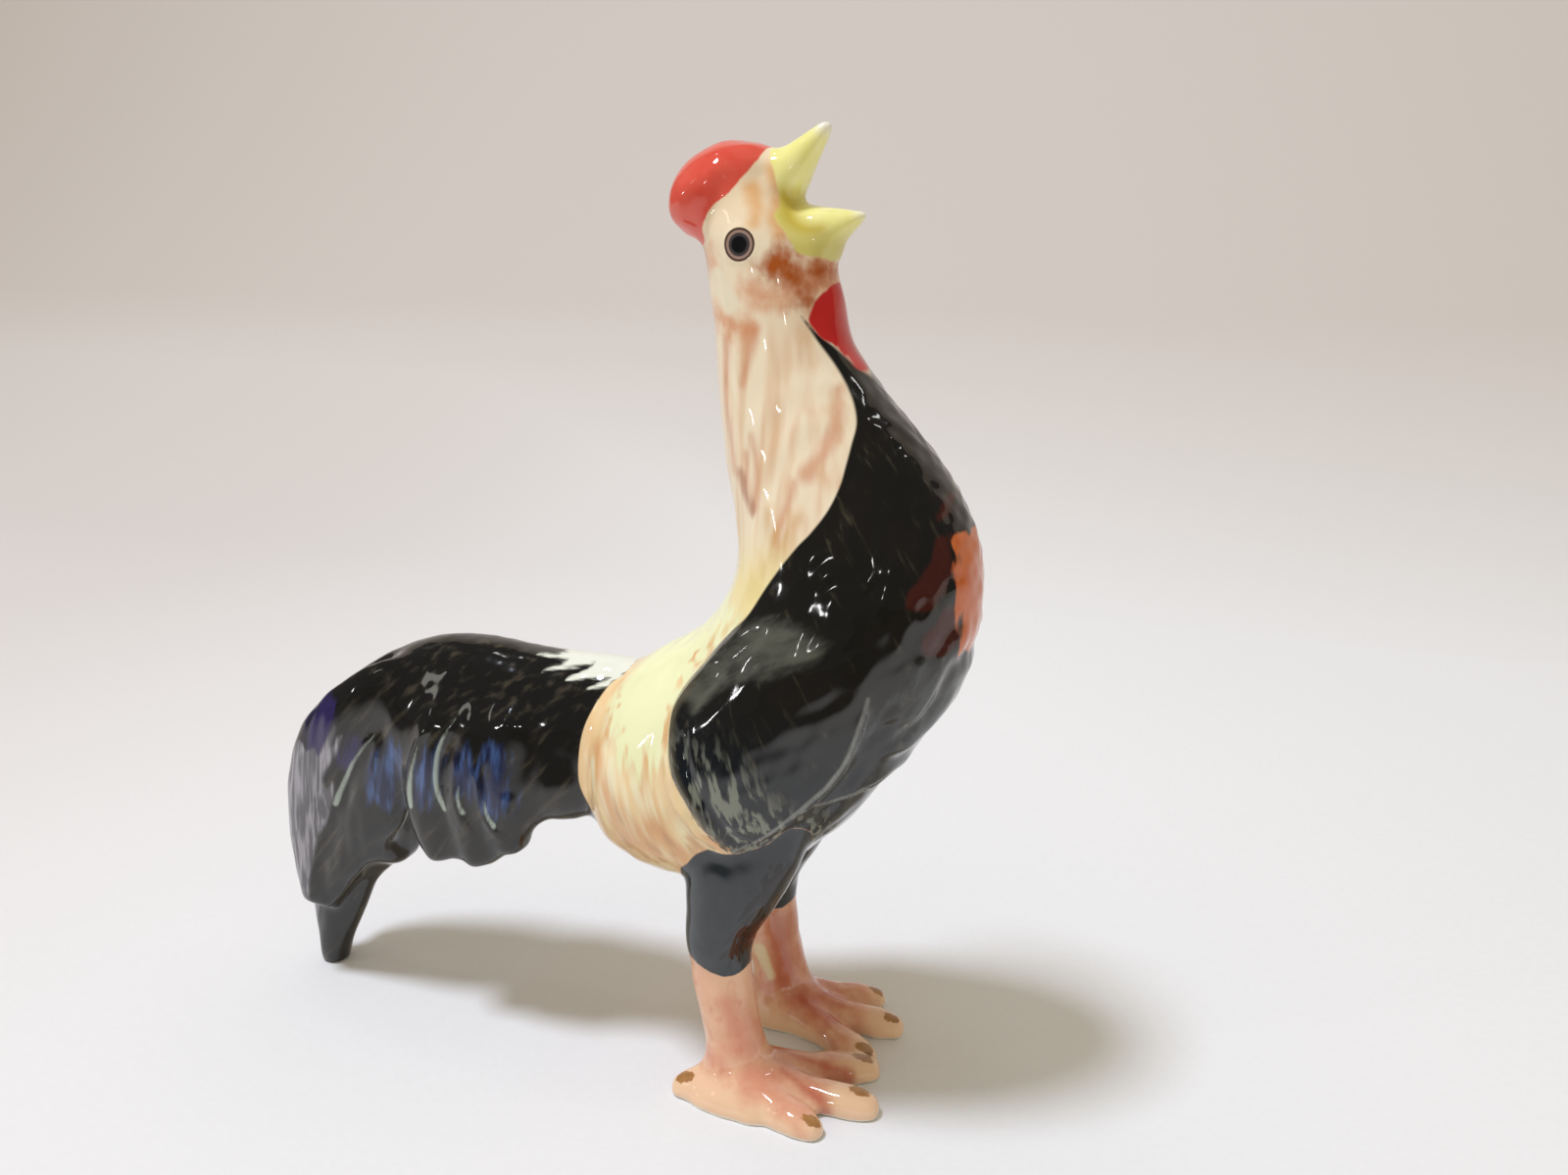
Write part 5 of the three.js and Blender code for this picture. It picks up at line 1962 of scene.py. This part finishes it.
@dataclass
class Studio:
    """The pale floor with its sweep and its painted shade, the lamps and the camera.

    Attributes:
        floor_width: How wide the floor is, in metres.
        floor_front: Where it starts in front of the figurine, in metres.
        sweep_start: Where it starts to rise behind the figurine, in metres.
        sweep_radius: How wide it curves up, in metres.
        sweep_angle: How steep it gets, in degrees.
        sweep_steps: How many flat pieces the curve has.
        wall_length: How far it runs on as a wall, in metres.
        paper: The colour of the floor.
        far_paper_shade: The painted shade that the wall darkens to.
        shade_height: The height at which the wall has its full painted shade, in mm.
        shade_aside: The range along x in which the floor takes on that painted shade too, towards
            the left, in mm.
        aside_strength: How much of it the floor takes on at most.
        grain: The grain of the paper.
        grain_colour: The colour of the grain.
        dusk: The range along y in which the floor that the glaze mirrors darkens, in mm.
        dusk_colour: The colour that it darkens to.
        paper_roughness: How rough the paper is.
        paper_gloss: How much it shines.
        room: The light of the room.
        seen_room: Its colour where the camera sees it.
        mirrored_room: Its colour where the glaze mirrors it.
        lamp_aim: The place that the lamps aim at, in metres.
        lamps: The lamps.
        camera_place: Where the camera stands, in mm.
        camera_azimuth: How far it is turned from square to the right side, in degrees.
        camera_dip: How far it looks down, in degrees.
        focal_pixels: Its focal length, in pixels of the image.
        frame_pixels: The width of the image, in pixels.
        sensor_width: The width of its sensor, in mm.
        nearest: How near it sees, in metres.
    """

    floor_width: float = 1.6
    floor_front: float = -0.7
    sweep_start: float = 0.17
    sweep_radius: float = 0.3
    sweep_angle: float = 78.0
    sweep_steps: int = 24
    wall_length: float = 0.8

    paper: Colour = (0.79, 0.80, 0.81)
    far_paper_shade: Colour = (0.60, 0.56, 0.53)
    shade_height: float = 55.0
    shade_aside: Span = (30.0, -230.0)
    aside_strength: float = 0.75
    grain: Brush = Brush(0.8, 0.8, 0, 3, 91, (0.3, 0.7), 0.04)
    grain_colour: Colour = (0.5, 0.48, 0.46)
    dusk: Span = (-52.0, -135.0)
    dusk_colour: Colour = (0.06, 0.06, 0.06)
    paper_roughness: float = 0.9
    paper_gloss: float = 0.1

    room: Colour = (0.59, 0.52, 0.405)
    seen_room: Colour = (0.62, 0.585, 0.55)
    mirrored_room: Colour = (0.085, 0.085, 0.09)
    lamp_aim: Place = (0.0, 0.0, 0.045)
    lamps: Sequence[Lamp] = (
        Lamp("key", -50, 71, 0.8, (0.16, 0.16), 4.35, (0.94, 1.01, 1.17)),
        Lamp("top", -118, 68, 0.7, (0.07, 0.05), 0.07),
        Lamp("window", -50, 30, 0.6, (0.06, 0.14), 0.05, (1.0, 0.97, 0.86)),
        Lamp("low", -57, 5, 0.5, (0.02, 0.04), 0.06),
        Lamp("near", -12, 9, 0.6, (0.02, 0.04), 0.05),
        Lamp("far", 117, 42, 0.7, (0.03, 0.04), 0.03),
        Lamp("front", 33, 12, 0.7, (0.02, 0.04), 0.05),
    )
    camera_place: Place = (60.66, -116.0, 87.2)
    camera_azimuth: float = 19.2
    camera_dip: float = 15.9
    focal_pixels: float = 1340.0
    frame_pixels: float = 1600.0
    sensor_width: float = 36.0
    nearest: float = 0.01

    def build(self) -> None:
        """Builds the stage, the lamps and the camera."""
        self.build_floor()
        self.build_lamps()
        self.build_camera()

    def floor_mesh(self) -> bpy.types.Mesh:
        """Sweeps the floor up into a wall.

        Returns:
            The mesh of the floor and the wall.
        """
        work = bmesh.new()
        left = -self.floor_width / 2
        front = work.verts.new((left, self.floor_front, 0))
        start = work.verts.new((left, self.sweep_start, 0))
        work.edges.new((front, start))
        slope = math.radians(self.sweep_angle)
        arc = bmesh.ops.spin(
            work,
            geom=[start],
            cent=(left, self.sweep_start, self.sweep_radius),
            axis=(1, 0, 0),
            angle=slope,
            steps=self.sweep_steps,
            use_merge=False,
        )
        top = [item for item in arc["geom_last"] if isinstance(item, bmesh.types.BMVert)][0]
        rise = Vector((0, math.cos(slope), math.sin(slope))) * self.wall_length
        work.edges.new((top, work.verts.new(top.co + rise)))
        swept = bmesh.ops.extrude_edge_only(work, edges=work.edges[:])
        moved = [item for item in swept["geom"] if isinstance(item, bmesh.types.BMVert)]
        bmesh.ops.translate(work, vec=(self.floor_width, 0, 0), verts=moved)
        bmesh.ops.recalc_face_normals(work, faces=work.faces[:])
        mesh = bpy.data.meshes.new("stage_floor")
        work.to_mesh(mesh)
        work.free()
        mesh.shade_smooth()
        return mesh

    def paper_material(self) -> bpy.types.Material:
        """Builds the paper, with painted shade towards the wall and the left, and darker for what
        the glaze mirrors of it.

        Returns:
            The material.
        """
        material = bpy.data.materials.new("paper")
        material.use_nodes = True
        shader = material.node_tree.nodes["Principled BSDF"]
        graph = Graph(material.node_tree)
        # Painted shade: the paper darkens with height up the wall and towards the left.
        rise = graph.calc("MINIMUM", graph.calc("DIVIDE", graph.height(), self.shade_height), 1)
        aside = graph.fade(graph.parts().outputs["X"], *self.shade_aside)
        aside = graph.times(aside, self.aside_strength)
        far = graph.calc("MAXIMUM", graph.calc("SQRT", graph.calc("MAXIMUM", rise, 0)), aside)
        paper = Palette(graph, graph.mix(far, self.paper, self.far_paper_shade))
        paper.lay(self.grain_colour, graph.strokes(self.grain))
        rays = graph.node("ShaderNodeLightPath")
        near = graph.fade(graph.parts().outputs["Y"], *self.dusk)
        paper.lay(self.dusk_colour, graph.times(near, rays.outputs["Is Glossy Ray"]))
        graph.feed(shader.inputs["Base Color"], paper.colour)
        shader.inputs["Roughness"].default_value = self.paper_roughness
        shader.inputs["Specular IOR Level"].default_value = self.paper_gloss
        return material

    def build_floor(self) -> None:
        """Puts the floor and its wall behind the figurine."""
        floor = bpy.data.objects.new("stage_floor", self.floor_mesh())
        bpy.context.scene.collection.objects.link(floor)
        floor.data.materials.append(self.paper_material())

    def build_lamps(self) -> None:
        """Sets the room's dim light and the lamps that make the highlights."""
        world = bpy.data.worlds.new("room")
        bpy.context.scene.world = world
        world.use_nodes = True
        tree = world.node_tree
        background = tree.nodes["Background"]
        rays = tree.nodes.new("ShaderNodeLightPath")
        graph = Graph(tree)
        light = graph.mix(rays.outputs["Is Glossy Ray"], self.room, self.mirrored_room)
        light = graph.mix(rays.outputs["Is Camera Ray"], light, self.seen_room)
        graph.feed(background.inputs["Color"], light)
        for lamp in self.lamps:
            self.hang(lamp)

    def hang(self, lamp: Lamp) -> None:
        """Hangs a lamp aimed at the figurine.

        Args:
            lamp: The lamp.
        """
        light = bpy.data.lights.new(lamp.name, "AREA")
        light.shape = "ELLIPSE"
        light.size, light.size_y = lamp.size
        light.energy = lamp.power
        light.color = lamp.colour
        hung = bpy.data.objects.new(lamp.name, light)
        turn = math.radians(lamp.azimuth)
        rise = math.radians(lamp.rise)
        level = Vector((math.sin(turn), -math.cos(turn), 0)) * math.cos(rise)
        course = level + Vector((0, 0, math.sin(rise)))
        hung.location = Vector(self.lamp_aim) + course * lamp.distance
        hung.rotation_euler = course.to_track_quat("Z", "Y").to_euler()
        bpy.context.scene.collection.objects.link(hung)

    def build_camera(self) -> None:
        """Puts the camera at the photograph's viewing angle."""
        data = bpy.data.cameras.new("camera")
        data.sensor_width = self.sensor_width
        data.lens = self.sensor_width * self.focal_pixels / self.frame_pixels
        data.clip_start = self.nearest
        camera = bpy.data.objects.new("camera", data)
        camera.location = Vector(self.camera_place) * MM
        camera.rotation_euler = (
            math.radians(90 - self.camera_dip),
            0,
            math.radians(self.camera_azimuth),
        )
        bpy.context.scene.collection.objects.link(camera)
        bpy.context.scene.camera = camera


def main() -> None:
    """Builds the figurine's surface and the studio, and reports each piece."""
    logging.basicConfig(level=logging.INFO, format="%(name)s: %(message)s")
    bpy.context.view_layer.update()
    Studio().build()
    skin = Skin()
    skin.fuse(Tail.lobes)
    log.info("skin fused: %d points", len(skin.points))
    skin.name_points()
    skin.soften()
    skin.settle()
    parts = (Trunk(), Tail(), Legs(), Head())
    for part in parts:
        part.sculpt(skin)
    skin.stand()
    for part in parts:
        part.mark(skin)
    painted = painting(parts)
    glazes = {slot: Glaze(slot).material(painted) for slot in Slot}
    shells = skin.parted()
    for section in SECTIONS:
        shell = shells[section.node]
        bpy.context.scene.collection.objects.link(shell)
        shell.data.materials.append(glazes[section.slot])
        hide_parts(section.node)
        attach(shell, "root")
        log.info("%s: %d faces", shell.name, len(shell.data.polygons))
    bpy.context.scene.view_settings.view_transform = "Standard"


if __name__ == "__main__":
    main()
